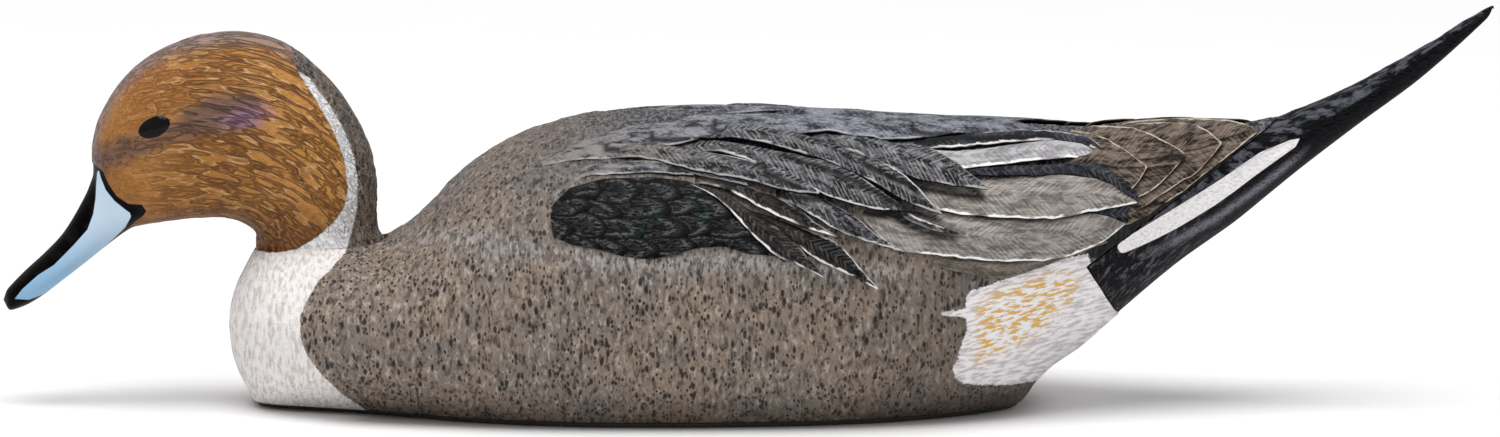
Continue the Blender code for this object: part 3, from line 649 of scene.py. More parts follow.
def vent_colour(paint):
    """White under the tail with ochre brush strokes that slant up to the rear."""
    place = paint.vector(paint.number("streak_u"), paint.number("streak_v"), 0.0)
    streaks = paint.noise(paint.shift(place, 0.5, 0.7), 1.0, 2.5, 0.6)
    rump = paint.fade(streaks, 0.35, 0.6, shade(196, 188, 190), shade(242, 238, 240))
    strokes = paint.ramp(streaks, 0.5, 0.45)
    inside = paint.ramp(paint.number("ochre"), -3.0, 3.0)
    ochre = paint.times(paint.times(inside, strokes), 0.85)
    return paint.mix(ochre, rump, shade(224, 170, 34)), streaks


def hair(paint):
    """Fine wavy strands: how much painted shade darkens a furrow and how much painted highlight brightens
    a crest, 0 to 1 each.
    """
    side = paint.math("ABSOLUTE", paint.axis("Y"))
    place = paint.vector(
        paint.times(paint.number("hair_out"), 0.48),
        paint.times(paint.number("hair_turn"), 0.085),
        paint.times(side, 0.48),
    )
    place = paint.shift(place, 0.7, 0.9)
    waves = paint.noise(place, 1.0, 0.8, 0.5)
    furrow = paint.ramp(paint.math("ABSOLUTE", paint.math("SUBTRACT", waves, 0.5)), 0.07, 0.0)
    second = paint.ramp(paint.math("ABSOLUTE", paint.math("SUBTRACT", waves, 0.38)), 0.065, 0.0)
    crest = paint.ramp(paint.math("ABSOLUTE", paint.math("SUBTRACT", waves, 0.575)), 0.05, 0.005)
    return paint.math("MAXIMUM", furrow, second), crest


def head_paint():
    paint = Paint("painted_head", 0.62, specular=0.3)
    furrow, crest = hair(paint)
    strand = paint.number("strand")
    back = paint.ramp(paint.number("rearward"), 2.0, 52.0)
    fine = paint.noise(paint.shift(paint.space(0.5, 0.9, 0.9), 0.8, 0.6), 1.0, 3.0, 0.6)
    broad = paint.noise(paint.space(0.06, 0.06, 0.06), 1.0, 2.0)
    colour = paint.fade(paint.number("rearward"), 25.0, 95.0, shade(158, 104, 49), shade(198, 137, 70))
    colour = paint.wash(paint.ramp(broad, 0.42, 0.65), 0.45, colour, shade(196, 138, 76))
    colour = paint.wash(paint.ramp(fine, 0.5, 0.34), 0.35, colour, shade(112, 68, 32))
    shadow = paint.times(paint.ramp(strand, 0.0, -0.6), paint.times(back, 0.4))
    colour = paint.mix(shadow, colour, shade(84, 48, 20))
    # painted shade in the carved furrows and painted highlight on the crests, stronger towards the back
    # of the head
    dark = paint.times(furrow, paint.math("MULTIPLY_ADD", back, 0.6, 0.12))
    colour = paint.mix(dark, colour, shade(66, 36, 14))
    bright = paint.times(crest, paint.math("MULTIPLY_ADD", back, 0.5, 0.08))
    colour = paint.mix(bright, colour, shade(220, 176, 122))
    wide = paint.math("MULTIPLY_ADD", strand, 2.0, paint.times(paint.math("SUBTRACT", fine, 0.5), 5.0))
    washes = [
        ("lore", -4.5, 2.0, 0.85, (56, 42, 38), (101, 79, 71)),
        ("mauve", -3.0, 3.5, 0.62, (92, 62, 80), (176, 134, 168)),
        ("crown", 17.0, 5.0, 0.75, (80, 74, 76), (136, 128, 130)),
        ("chin", 17.0, 4.0, 0.6, (90, 68, 58), (144, 116, 100)),
    ]
    # each tint is painted darker in the furrows, as shade
    for name, low, high, most, deep, pale in washes:
        inside = paint.ramp(paint.math("ADD", paint.number(name), wide), low, high)
        colour = paint.wash(inside, most, colour, paint.mix(furrow, shade(*pale), shade(*deep)))
    neck = paint.ramp(paint.number("height"), 76.0, 56.0)
    colour = paint.wash(neck, 0.65, colour, shade(76, 40, 16))
    spots, _ = vermiculated(paint)
    nape = paint.mix(0.2, spots, shade(62, 52, 42))
    white = paint.fade(fine, 0.35, 0.62, shade(214, 211, 213), shade(246, 245, 247))
    rear = paint.mix(rough_edge(paint, paint.number("white"), 0.4, 1.0, 0.3), nape, white)
    colour = paint.mix(rough_edge(paint, paint.number("brown"), 0.45, 1.0, 0.3), rear, colour)
    bill_in = paint.ramp(paint.number("bill"), -0.12, 0.12)
    colour = paint.mix(bill_in, colour, bill_colour(paint))
    waves = paint.times(paint.math("SUBTRACT", crest, furrow), paint.math("MULTIPLY_ADD", back, 0.8, 0.2))
    height = paint.math("MULTIPLY_ADD", waves, 0.35, paint.times(fine, 0.6))
    furred = paint.math("SUBTRACT", 1.0, bill_in)
    normal = paint.bump(paint.times(height, furred), 1.1, 1.0)
    roughness = paint.math("MULTIPLY_ADD", bill_in, -0.24, 0.66)
    specular = paint.math("MULTIPLY_ADD", bill_in, -0.24, 0.28)
    return paint.finish(colour, normal, roughness, specular)


def bill_colour(paint):
    blue_in = paint.ramp(paint.number("bill_blue"), -0.15, 0.15)
    height = paint.ramp(paint.number("height"), 42.0, 68.0)
    blue = paint.mix(height, shade(140, 178, 208), shade(196, 216, 234))
    smudge = paint.noise(paint.space(0.2, 0.2, 0.2), 1.0, 3.0)
    black = paint.fade(smudge, 0.45, 0.75, shade(6, 5, 5), shade(26, 22, 21))
    return paint.mix(blue_in, black, blue)


def tail_paint():
    paint = Paint("painted_tail", 0.66, specular=0.08)
    space = paint.shift(paint.space(0.16, 0.5, 0.26), 1.4, 0.5)
    rough = paint.noise(space, 1.0, 3.0, 0.65)
    fine = paint.noise(paint.space(0.3, 1.5, 1.5), 1.0, 2.0)
    upper = paint.fade(rough, 0.42, 0.66, shade(14, 14, 17), shade(88, 90, 98))
    lower = paint.fade(fine, 0.35, 0.65, shade(12, 11, 14), shade(30, 29, 33))
    root = paint.ramp(paint.number("rearward"), 172.0, 130.0)
    lower = paint.wash(root, paint.ramp(rough, 0.5, 0.64), lower, shade(88, 87, 92))
    upper_in = paint.ramp(paint.number("upper"), -0.3, 0.3)
    colour = paint.mix(upper_in, lower, upper)
    band = paint.times(paint.number("sheen"), paint.ramp(fine, 0.2, 0.6))
    colour = paint.wash(band, 0.85, colour, shade(126, 127, 136))
    white = paint.fade(fine, 0.3, 0.6, shade(220, 213, 214), shade(246, 243, 244))
    colour = paint.fade(paint.number("stripe"), -0.12, 0.12, colour, white)
    carved = paint.times(rough, paint.math("MAXIMUM", upper_in, root))
    normal = paint.bump(carved, 1.8, 0.9)
    normal = paint.bump(fine, 0.12, 0.6, normal)
    return paint.finish(colour, normal)


def patch_paint():
    paint = Paint("side_patch_paint", 0.6, specular=0.1)
    fine = paint.noise(paint.shift(paint.space(0.5, 0.5, 1.4), 0.8, 0.6), 1.0, 3.0, 0.6)
    colour = paint.fade(fine, 0.35, 0.62, shade(5, 5, 6), shade(48, 48, 50))
    wobble = paint.math("SUBTRACT", fine, 0.5)
    tip = paint.math("MULTIPLY_ADD", wobble, 0.9, paint.number("scale_tip"))
    edge = paint.times(paint.ramp(tip, 0.3, 0.5), paint.ramp(tip, 0.72, 0.55))
    lit = paint.times(edge, paint.ramp(fine, 0.45, 0.58))
    colour = paint.wash(lit, 0.6, colour, shade(104, 106, 106))
    # painted shade: black in the gaps between the scales and along the edges where one scale lies over
    # the next
    gap = paint.math("MAXIMUM", paint.ramp(tip, 0.1, 0.0), paint.ramp(tip, 0.66, 0.86))
    colour = paint.mix(gap, colour, (0.001, 0.001, 0.001))
    glint = paint.times(paint.number("glint"), paint.ramp(fine, 0.5, 0.66))
    colour = paint.wash(glint, 0.55, colour, shade(40, 96, 66))
    return paint.finish(colour, paint.bump(fine, 0.9, 0.9))


def feather_paint(
    name, dark, light, rim, barbing, speckle, rim_width=0.55, centre_highlight=0.0, spot=None, shaft=None
):
    """A feather's vane: soft streaks along it, specks, faint barbs that slant back and a thin rim.
    It is painted black underneath as shade, and painted darker as shade near the edges of the feathers
    that lie over it."""
    paint = Paint(name, 0.68, specular=0.12)
    dark, light, rim = shade(*dark), shade(*light), shade(*rim)
    along, across, edge = paint.number("along"), paint.number("across"), paint.number("edge")
    tone = paint.number("tone")
    slant = paint.math("SUBTRACT", along, paint.times(paint.math("ABSOLUTE", across), 1.2))
    barb_space = paint.vector(slant, paint.times(across, 0.3), tone)
    barbs = paint.noise(paint.shift(barb_space, 1.3, 0.5), 1.0, 2.0, 0.6)
    drift = paint.times(barbs, 5.0)
    ladder = paint.math("SINE", paint.math("MULTIPLY_ADD", slant, 3.3, drift))
    patchy = paint.noise(paint.space(0.09, 0.09, 0.14), 1.0, 2.0)
    ladder = paint.times(ladder, paint.ramp(patchy, 0.42, 0.56))
    barbs = paint.math("MULTIPLY_ADD", ladder, 0.13, barbs)
    streak_space = paint.vector(
        paint.times(along, 0.13), paint.times(across, 0.6), paint.times(tone, 7.0)
    )
    streaks = paint.noise(paint.shift(streak_space, 0.9, 0.8), 1.0, 3.0, 0.62)
    specks = paint.noise(paint.shift(paint.space(0.7, 0.7, 0.85), 0.8, 0.7), 1.0, 2.0, 0.6)
    colour = paint.fade(streaks, 0.36, 0.64, dark, light)
    colour = paint.wash(paint.ramp(barbs, 0.5, 0.68), barbing, colour, rim)
    deep = tuple(part * 0.3 for part in dark)
    sink = paint.times(paint.ramp(barbs, 0.48, 0.34), min(1.0, barbing * 1.8))
    colour = paint.mix(sink, colour, deep)
    colour = paint.wash(paint.ramp(specks, 0.56, 0.68), speckle, colour, rim)
    colour = paint.wash(paint.ramp(specks, 0.44, 0.32), min(1.0, speckle * 2), colour, deep)
    if spot is not None:
        place = paint.vector(paint.times(along, 0.11), paint.times(across, 0.2), tone)
        distance, luck = paint.cells(place)
        dots = paint.times(paint.ramp(distance, 0.1, 0.06), paint.ramp(luck, 0.07, 0.05))
        colour = paint.mix(dots, colour, shade(*spot))
    if shaft is not None:
        line = paint.ramp(paint.math("ABSOLUTE", across), 0.45, 0.2)
        colour = paint.wash(line, 0.7, colour, shade(*shaft))
    # painted highlight along each feather's crowned middle, fading away near its edges
    middle = paint.times(paint.ramp(edge, 0.5, 3.2), paint.ramp(streaks, 0.42, 0.6))
    colour = paint.wash(middle, centre_highlight, colour, rim)
    front = paint.times(paint.number("front"), paint.ramp(streaks, 0.36, 0.6))
    colour = paint.wash(front, 0.75, colour, shade(138, 128, 118))
    colour = paint.wash(paint.number("shade"), 0.88, colour, UNLIT)
    wobble = paint.math("SUBTRACT", paint.noise(paint.space(), 0.45, 2.0), 0.5)
    ragged = paint.math("MULTIPLY_ADD", wobble, 1.5, edge)
    whole = paint.ramp(paint.noise(paint.space(0.11, 0.11, 0.11), 1.0, 1.0), 0.36, 0.5)
    rim_in = paint.times(paint.ramp(ragged, rim_width, rim_width * 0.4), whole)
    colour = paint.wash(rim_in, paint.number("rim"), colour, rim)
    colour = paint.fade(paint.number("under"), 0.15, 0.5, colour, UNLIT)
    height = paint.mix(0.5, specks, streaks)
    return paint.finish(colour, paint.bump(height, 0.9, 0.9))


# ---------------------------------------------------------------- skins
def add_relief(mesh, amount_at):
    """Moves each vertex out along its normal by amount_at(points), in mm."""
    places = vertex_array(mesh) / MM
    normals = vertex_array(mesh, "normal")
    amount = amount_at(places)
    set_points(mesh, (places + normals * amount[:, None]) * MM)


def wool(points, seed=0):
    """Smooth noise between -1 and 1 whose features are about 1 across, the same each run."""
    grid = np.asarray(points, float) + 31.7 * seed
    cell = np.floor(grid).astype(np.int64)
    part = grid - cell
    part = part * part * (3 - 2 * part)
    total = np.zeros(len(grid))
    for corner in itertools.product((0, 1), repeat=3):
        mixed = ((cell + corner) * (73856093, 19349663, 83492791)).sum(axis=1)
        mixed = ((mixed ^ (mixed >> 13)) * 1274126177) & 0x7FFFFFFF
        value = (mixed >> 8) % 1024 / 511.5 - 1
        total += np.where(corner, part, 1 - part).prod(axis=1) * value
    return total


def lumps(places, size, seed):
    return wool(places / size, seed)


def notch_tool(name, grow):
    """The wedge between the rump and the tail, as a solid to cut with."""
    corner, upper, lower = (Vector(p) for p in NOTCH)
    up, down = (upper - corner).normalized(), (lower - corner).normalized()
    start = corner - (up + down).normalized() * grow / math.sin(up.angle(down) / 2)
    outline = [start, start + down * 220, start + (up + down) * 220, start + up * 220]
    points = [(p.x, y, p.y) for y in (-90, 90) for p in outline]
    faces = [(3, 2, 1, 0), (4, 5, 6, 7), *((i, (i + 1) % 4, (i + 1) % 4 + 4, i + 4) for i in range(4))]
    mesh = make_mesh(name, points, faces)
    turn_out(mesh)
    return link(name, mesh)


def body_relief(places):
    flat = paint_points(places)
    over = height_over(flat, FLANK_RIDGE)
    within = softly(flat[:, 0], -125, -100) * (1 - softly(flat[:, 0], 50, 70))
    ridge = np.exp(-(((over + 1.0) / 2.2) ** 2)) * 0.5 - np.exp(-(((over - 3.2) / 1.8) ** 2)) * 0.45
    coarse = lumps(places, 11.0, 3) * 0.3 + lumps(places, 5.0, 5) * 0.15
    wavy = places + 1.6 * np.stack([lumps(places, 6.0, k) for k in (6, 7, 8)], axis=1)
    strokes = wool(wavy / (2.4, 5.0, 5.5), 9) * 0.24
    spine = softly(places[:, 2], 86, 95) * softly(places[:, 0], -85, -60)
    strokes = strokes + spine * wool(wavy / (2.6, 2.2, 2.6), 13) * 0.45
    white = signed_distance(flat, WHITE_BREAST)
    vent = signed_distance(flat, VENT)
    plain = np.maximum(softly(white, -0.5, 1.5), softly(vent, -0.5, 1.5))
    step = -0.35 * softly(white, -1.2, 0.6)
    quiet = softly(places[:, 2], PAN_SEAM, PAN_SEAM + 4)
    off_seat = np.hypot(places[:, 0] - NECK_X, places[:, 1]) - SEAT_R - 0.1
    quiet = quiet * np.where(places[:, 2] > 45, softly(off_seat, 0.0, 5.0), 1.0)
    return (ridge * within + coarse + step + strokes * (1 - 0.6 * plain)) * quiet


def store_body_numbers(mesh):
    places = vertex_array(mesh) / MM
    flat = paint_points(places)
    put(mesh, "white", signed_distance(flat, WHITE_BREAST))
    put(mesh, "brown", signed_distance(flat, BROWN_HEAD))
    put(mesh, "vent", signed_distance(flat, VENT))
    put(mesh, "ochre", signed_distance(flat, OCHRE))
    put(mesh, "dark", signed_distance(flat, DARK_RUMP))
    put(mesh, "height", places[:, 2])
    over = height_over(flat, FLANK_RIDGE)
    within = softly(flat[:, 0], -130, -95) * (1 - softly(flat[:, 0], 45, 65))
    put(mesh, "ridge", np.exp(-((over + 1.0) / 3.5) ** 2) * within)
    back = softly(flat[:, 0], -90, -30) * softly(flat[:, 1], 74, 84)
    rear = softly(flat[:, 0], 0, 30) * softly(flat[:, 1], 62, 74)
    put(mesh, "slate", np.maximum(back * 0.85, rear))
    slant = math.radians(14)
    u = flat[:, 0] * math.cos(slant) + flat[:, 1] * math.sin(slant)
    v = flat[:, 1] * math.cos(slant) - flat[:, 0] * math.sin(slant)
    put(mesh, "streak_u", u * 0.26)
    put(mesh, "streak_v", v * 1.05)


def body_sections(step, count):
    rows = even_rows(BODY, step, [0, 1, 2, 3])
    return [body_section(row, count) for row in rows]


def neck_cylinder(name, radius, low, high):
    """A cylinder round the axis that the head turns on, to join or cut with."""
    shape = bmesh.new()
    place = Matrix.Translation(Vector((NECK_X, 0, (low + high) / 2)) * MM)
    size = {"radius1": radius * MM, "radius2": radius * MM, "depth": (high - low) * MM}
    bmesh.ops.create_cone(shape, cap_ends=True, segments=144, matrix=place, **size)
    mesh = bpy.data.meshes.new(name)
    shape.to_mesh(mesh)
    shape.free()
    return link(name, mesh)


def make_body_skin():
    mesh = skin_mesh("body_skin", body_sections(SKIN_STEP, 150))
    cut_below(mesh, PAN_SEAM)
    thing = link_mesh("body_skin", mesh, body_paint())
    boolean(thing, "DIFFERENCE", notch_tool("notch", 0.0))
    boolean(thing, "UNION", neck_cylinder("collar", NECK_R, 49.0, NECK_SEAT + 1))
    boolean(thing, "DIFFERENCE", neck_cylinder("seat", SEAT_R, NECK_SEAT, NECK_SEAT + 40))
    thing.data.shade_smooth()
    add_relief(thing.data, body_relief)
    thing.data.set_sharp_from_angle(angle=math.radians(50))
    store_body_numbers(thing.data)
    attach(thing, "body")
    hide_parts("body_shell")


def tail_relief(places):
    flat = paint_points(places)
    upper = signed_distance(flat, TAIL_UPPER)
    step = 0.7 * softly(upper, -0.8, 0.4) - 0.7
    stripe = signed_distance(flat, TAIL_STRIPE)
    raised = 0.35 * softly(stripe, -0.6, 0.6)
    groove = -0.5 * np.exp(-((upper + 1.6) / 1.2) ** 2)
    rough = softly(upper, -0.5, 1.0)
    coarse = (lumps(places, 7.0, 11) * 0.35 + lumps(places, 3.0, 12) * 0.2) * rough
    return (step + raised + groove + coarse) * softly(places[:, 0], 118, 150) - TAIL_INSET


def make_tail_skin():
    mesh = skin_mesh("tail_skin", body_sections(1.1, 110))
    thing = link_mesh("tail_skin", mesh, tail_paint())
    boolean(thing, "INTERSECT", notch_tool("notch", -0.3))
    thing.data.shade_smooth()
    add_relief(thing.data, tail_relief)
    thing.data.set_sharp_from_angle(angle=math.radians(50))
    mesh = thing.data
    places = vertex_array(mesh) / MM
    flat = paint_points(places)
    put(mesh, "upper", signed_distance(flat, TAIL_UPPER))
    stripe = signed_distance(flat, TAIL_STRIPE)
    put(mesh, "stripe", stripe)
    line = [
        (125.6, 47.5), (135.8, 51.6), (144.0, 55.4), (157.6, 62.9), (170.2, 71.8), (183.4, 82.1),
        (197.0, 93.4),
    ]
    off = height_over(flat, line)
    within = softly(flat[:, 0], 130, 150) * (1 - softly(flat[:, 0], 180, 192))
    put(mesh, "sheen", np.exp(-((off / 1.5) ** 2)) * within)
    put(mesh, "rearward", places[:, 0])
    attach(thing, "body")
    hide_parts("tail_sprig")


def head_numbers(sections):
    """For each point of each section: how far down from the crown, and how far up from the chin."""
    crown, chin = [], []
    for half in sections:
        steps = np.linalg.norm(np.diff(half, axis=0), axis=1)
        down = np.concatenate([[0], np.cumsum(steps)])
        crown.append(down)
        chin.append(down[-1] - down)
    return {"crown": crown, "chin": chin}


def hair_place(places):
    """Hair runs back in arcs round a spot under the throat: how far out, how far round, how far
    from the plane of symmetry."""
    off = paint_points(places) - HAIR_CENTRE
    turn = np.arctan2(off[:, 1], off[:, 0]) * 70.0
    return np.stack([np.hypot(off[:, 0], off[:, 1]), turn, np.abs(places[:, 1])], axis=1)


def head_strands(place):
    """Wavy carved strands, -1 to 1."""
    place = place.copy()
    wave = np.stack([wool(place / (4.0, 4.5, 4.0), k) for k in (31, 32)], axis=1)
    place[:, 0] += 1.1 * wave[:, 0]
    place[:, 2] += 1.1 * wave[:, 1]
    return wool(place / (1.4, 7.0, 1.4), 33)


def head_relief(places):
    flat = paint_points(places)
    bill = signed_distance(flat, BILL)
    blue = signed_distance(flat, BILL_BLUE)
    furred = 1 - softly(bill, -1.5, 0.2)
    lump = lumps(places, 6.0, 21) * 0.14
    rear = softly(places[:, 0], -218, -175)
    hair = head_strands(hair_place(places)) * (0.03 + 0.22 * rear)
    face = (0.3 + lump * (0.3 + 0.7 * rear) + hair) * furred
    border = signed_distance(flat, BROWN_HEAD)
    edges = 0.25 * softly(blue, -0.6, 0.3) + 0.2 * softly(border, -0.8, 0.4) * furred
    return (face + edges) * softly(places[:, 2], HEAD_BASE + 1.0, HEAD_BASE + 7.0)


def make_head_skin():
    rows = even_rows(HEAD, 0.7, [0, 1, 2, 3, 4])
    sections = [head_section(row, 124) for row in rows]
    mesh = skin_mesh("head_skin", sections, head_numbers(sections))
    thing = link_mesh("head_skin", mesh, head_paint())
    place = hair_place(vertex_array(mesh) / MM)
    put(mesh, "strand", head_strands(place))
    put(mesh, "hair_out", place[:, 0])
    put(mesh, "hair_turn", place[:, 1])
    add_relief(mesh, head_relief)
    mesh.set_sharp_from_angle(angle=math.radians(60))
    places = vertex_array(mesh) / MM
    flat = paint_points(places)
    for name, outline in HEAD_OUTLINES.items():
        put(mesh, name, signed_distance(flat, outline))
    put(mesh, "height", places[:, 2])
    put(mesh, "rearward", places[:, 0] + 225)
    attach(thing, "head")
    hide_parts("head_shell")


# ---------------------------------------------------------------- feathers laid on the body
class Hide:
    """The body's left side as a table, to find the place in space of a paint point (x, t)."""

    def __init__(self, step=1.0, count=240):
        fine = smooth_rows(BODY, 40)
        self.xs = np.arange(-176.0, 250.0, step)
        rows = [[np.interp(x, fine[:, 0], fine[:, c]) for c in range(7)] for x in self.xs]
        self.places = np.array([body_section(row, count) for row in rows])
        down = np.gradient(self.places, axis=1)
        back = np.gradient(self.places, axis=0)
        normals = np.cross(back, down)
        normals /= np.maximum(np.linalg.norm(normals, axis=2, keepdims=True), 1e-9)
        flip = np.sign((normals * (0, -1, 0)).sum(axis=2))
        facing = np.median(flip[:, count // 3])
        self.normals = normals * facing
        self.normals[:, 0] = (0, 0, 1)
        self.t = self.places[:, :, 2] + self.places[:, :, 1] * SLOPE

    def find(self, flat, lift):
        """Points lift mm off the hide, at the given paint points."""
        made = []
        for (x, t), up in zip(flat, lift):
            at = np.clip((x - self.xs[0]) / (self.xs[1] - self.xs[0]), 0, len(self.xs) - 1.001)
            i = int(at)
            share = at - i
            near = self.spot(i, t)
            far = self.spot(i + 1, t)
            place = near[0] * (1 - share) + far[0] * share
            normal = near[1] * (1 - share) + far[1] * share
            made.append(place + normal / max(np.linalg.norm(normal), 1e-9) * up)
        return np.array(made)

    def spot(self, i, t):
        row = self.t[i]
        last = int(np.argmin(row))
        s = np.interp(-t, -row[: last + 1], np.arange(last + 1))
        j = min(int(s), len(row) - 2)
        f = s - j
        place = self.places[i, j] * (1 - f) + self.places[i, j + 1] * f
        normal = self.normals[i, j] * (1 - f) + self.normals[i, j + 1] * f
        return place, normal


HIDE = Hide()


class Flock:
    """Feathers gathered into one mesh for each side of the body. Each lies over those before it."""

    def __init__(self, over=()):
        self.points, self.faces = [], []
        keys = ("along", "across", "edge", "tone", "rim", "under", "shade", "front")
        self.numbers = {key: [] for key in keys}
        self.outlines = []
        self.cover = [outline for flock in over for outline in flock.outlines]

    def add(self, upper, lower, low, high, tone, rim=(1, 1), size=(56, 15), tuck=1.0):
        """A feather between two edges that run from its root to its tip. Its upper face stands low
        above the body at the root and high at the tip. rim says how bright each edge is."""
        n_along, n_across = size
        top, bottom = soft_curve(upper, n_along), soft_curve(lower, n_along)
        slender = np.minimum(1, np.linalg.norm(top - bottom, axis=1) / 4)
        for curve, seed in ((top, 41), (bottom, 42)):
            curve[:, 1] += 0.35 * slender * wool(np.c_[curve / 3.0, np.full(n_along, tone * 9)], seed)
        shares = np.linspace(0, 1, n_across)
        grid = bottom[:, None] * (1 - shares[None, :, None]) + top[:, None] * shares[None, :, None]
        width = np.linalg.norm(top - bottom, axis=1)
        middle = (top + bottom) / 2
        steps = np.linalg.norm(np.diff(middle, axis=0), axis=1)
        run = np.concatenate([[0], np.cumsum(steps)])
        part = run / run[-1]
        rise = low + (high - low) * part
        bow = 1 - (2 * shares - 1) ** 2
        crowned = FEATHER_CROWN * np.minimum(1, width / 6)[:, None] * bow[None]
        lift = rise[:, None] + crowned
        tucked = tuck * (1 - softly(part, 0.3, 0.75))[:, None] * (1 - softly(1 - shares, 0, 0.3))[None]
        tucked = np.maximum(tucked, (1 - softly(part, 0, 0.15))[:, None] * np.ones_like(tucked))
        lift = lift * (1 - tucked) - 0.3 * tucked
        flat = grid.reshape(-1, 2)
        over = HIDE.find(flat, lift.ravel())
        under = HIDE.find(flat, (lift - FEATHER_THICK - 0.2 * crowned).ravel())
        self.stitch(over, under, n_along, n_across)
        free = int(0.35 * n_along)
        self.outlines.append(np.vstack([top[free:], bottom[free:][::-1]]))
        to_side = np.minimum(shares, 1 - shares)[None] * width[:, None]
        to_tip = (run[-1] - run)[:, None] * 0.5
        weight = np.where(shares[None] < 0.5, rim[0], rim[1]) * softly(part, 0.02, 0.25)[:, None]
        numbers = {
            "along": np.repeat(run, n_across),
            "across": ((shares[None] - 0.5) * width[:, None]).ravel(),
            "edge": np.minimum(to_side, to_tip).ravel(),
            "tone": np.full(len(flat), tone),
            "rim": (weight * np.ones_like(to_side)).ravel(),
            "front": 1 - softly(flat[:, 0], -70.0, 5.0),
        }
        for under_side in (0.0, 1.0):
            self.numbers["under"].append(np.full(len(flat), under_side))
            for key, values in numbers.items():
                self.numbers[key].append(values)

    def shade_by_neighbours(self):
        """Stores how close each point is to the edge of a feather that lies over it."""
        count = len(self.outlines)
        start = 0
        points = np.vstack(self.points)
        for k in range(count):
            number = 2 * len(self.numbers["along"][2 * k])
            part = points[start : start + number]
            start += number
            flat = paint_points(part)
            dark = np.zeros(number)
            for outline in self.outlines[k + 1 :] + self.cover:
                apart = -signed_distance(flat, outline)
                near = (1 - softly(apart, 0.2, 1.7)) * softly(apart, -1.5, -0.4)
                dark = np.maximum(dark, near)
            self.numbers["shade"].extend([dark[: number // 2], dark[number // 2 :]])

    def stitch(self, over, under, n_along, n_across):
        start = sum(len(p) for p in self.points)
        self.points.extend([over, under])
        count = n_along * n_across

        def corner(i, j, layer):
            return start + layer * count + i * n_across + j

        for i in range(n_along - 1):
            for j in range(n_across - 1):
                quad = [(i, j), (i + 1, j), (i + 1, j + 1), (i, j + 1)]
                self.faces.append([corner(a, b, 0) for a, b in quad])
                self.faces.append([corner(a, b, 1) for a, b in reversed(quad)])
        border = [(i, 0) for i in range(n_along)]
        border += [(n_along - 1, j) for j in range(1, n_across)]
        border += [(i, n_across - 1) for i in range(n_along - 2, -1, -1)]
        border += [(0, j) for j in range(n_across - 2, 0, -1)]
        for (a, b), (c, d) in zip(border, border[1:] + border[:1]):
            self.faces.append([corner(a, b, 0), corner(a, b, 1), corner(c, d, 1), corner(c, d, 0)])

    def build(self, name, material):
        if self.outlines:
            self.shade_by_neighbours()
        points = np.vstack(self.points)
        for side, flip in (("left", 1), ("right", -1)):
            mesh = make_mesh(f"{name}_{side}", points * (1, flip, 1), self.faces)
            for key, parts in self.numbers.items():
                put(mesh, key, np.concatenate(parts))
            shape = bmesh.new()
            shape.from_mesh(mesh)
            bmesh.ops.remove_doubles(shape, verts=shape.verts, dist=0.02 * MM)
            bmesh.ops.recalc_face_normals(shape, faces=shape.faces)
            shape.to_mesh(mesh)
            shape.free()
            thing = link_mesh(f"{name}_{side}", mesh, material)
            mesh.set_sharp_from_angle(angle=math.radians(45))
            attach(thing, "body")


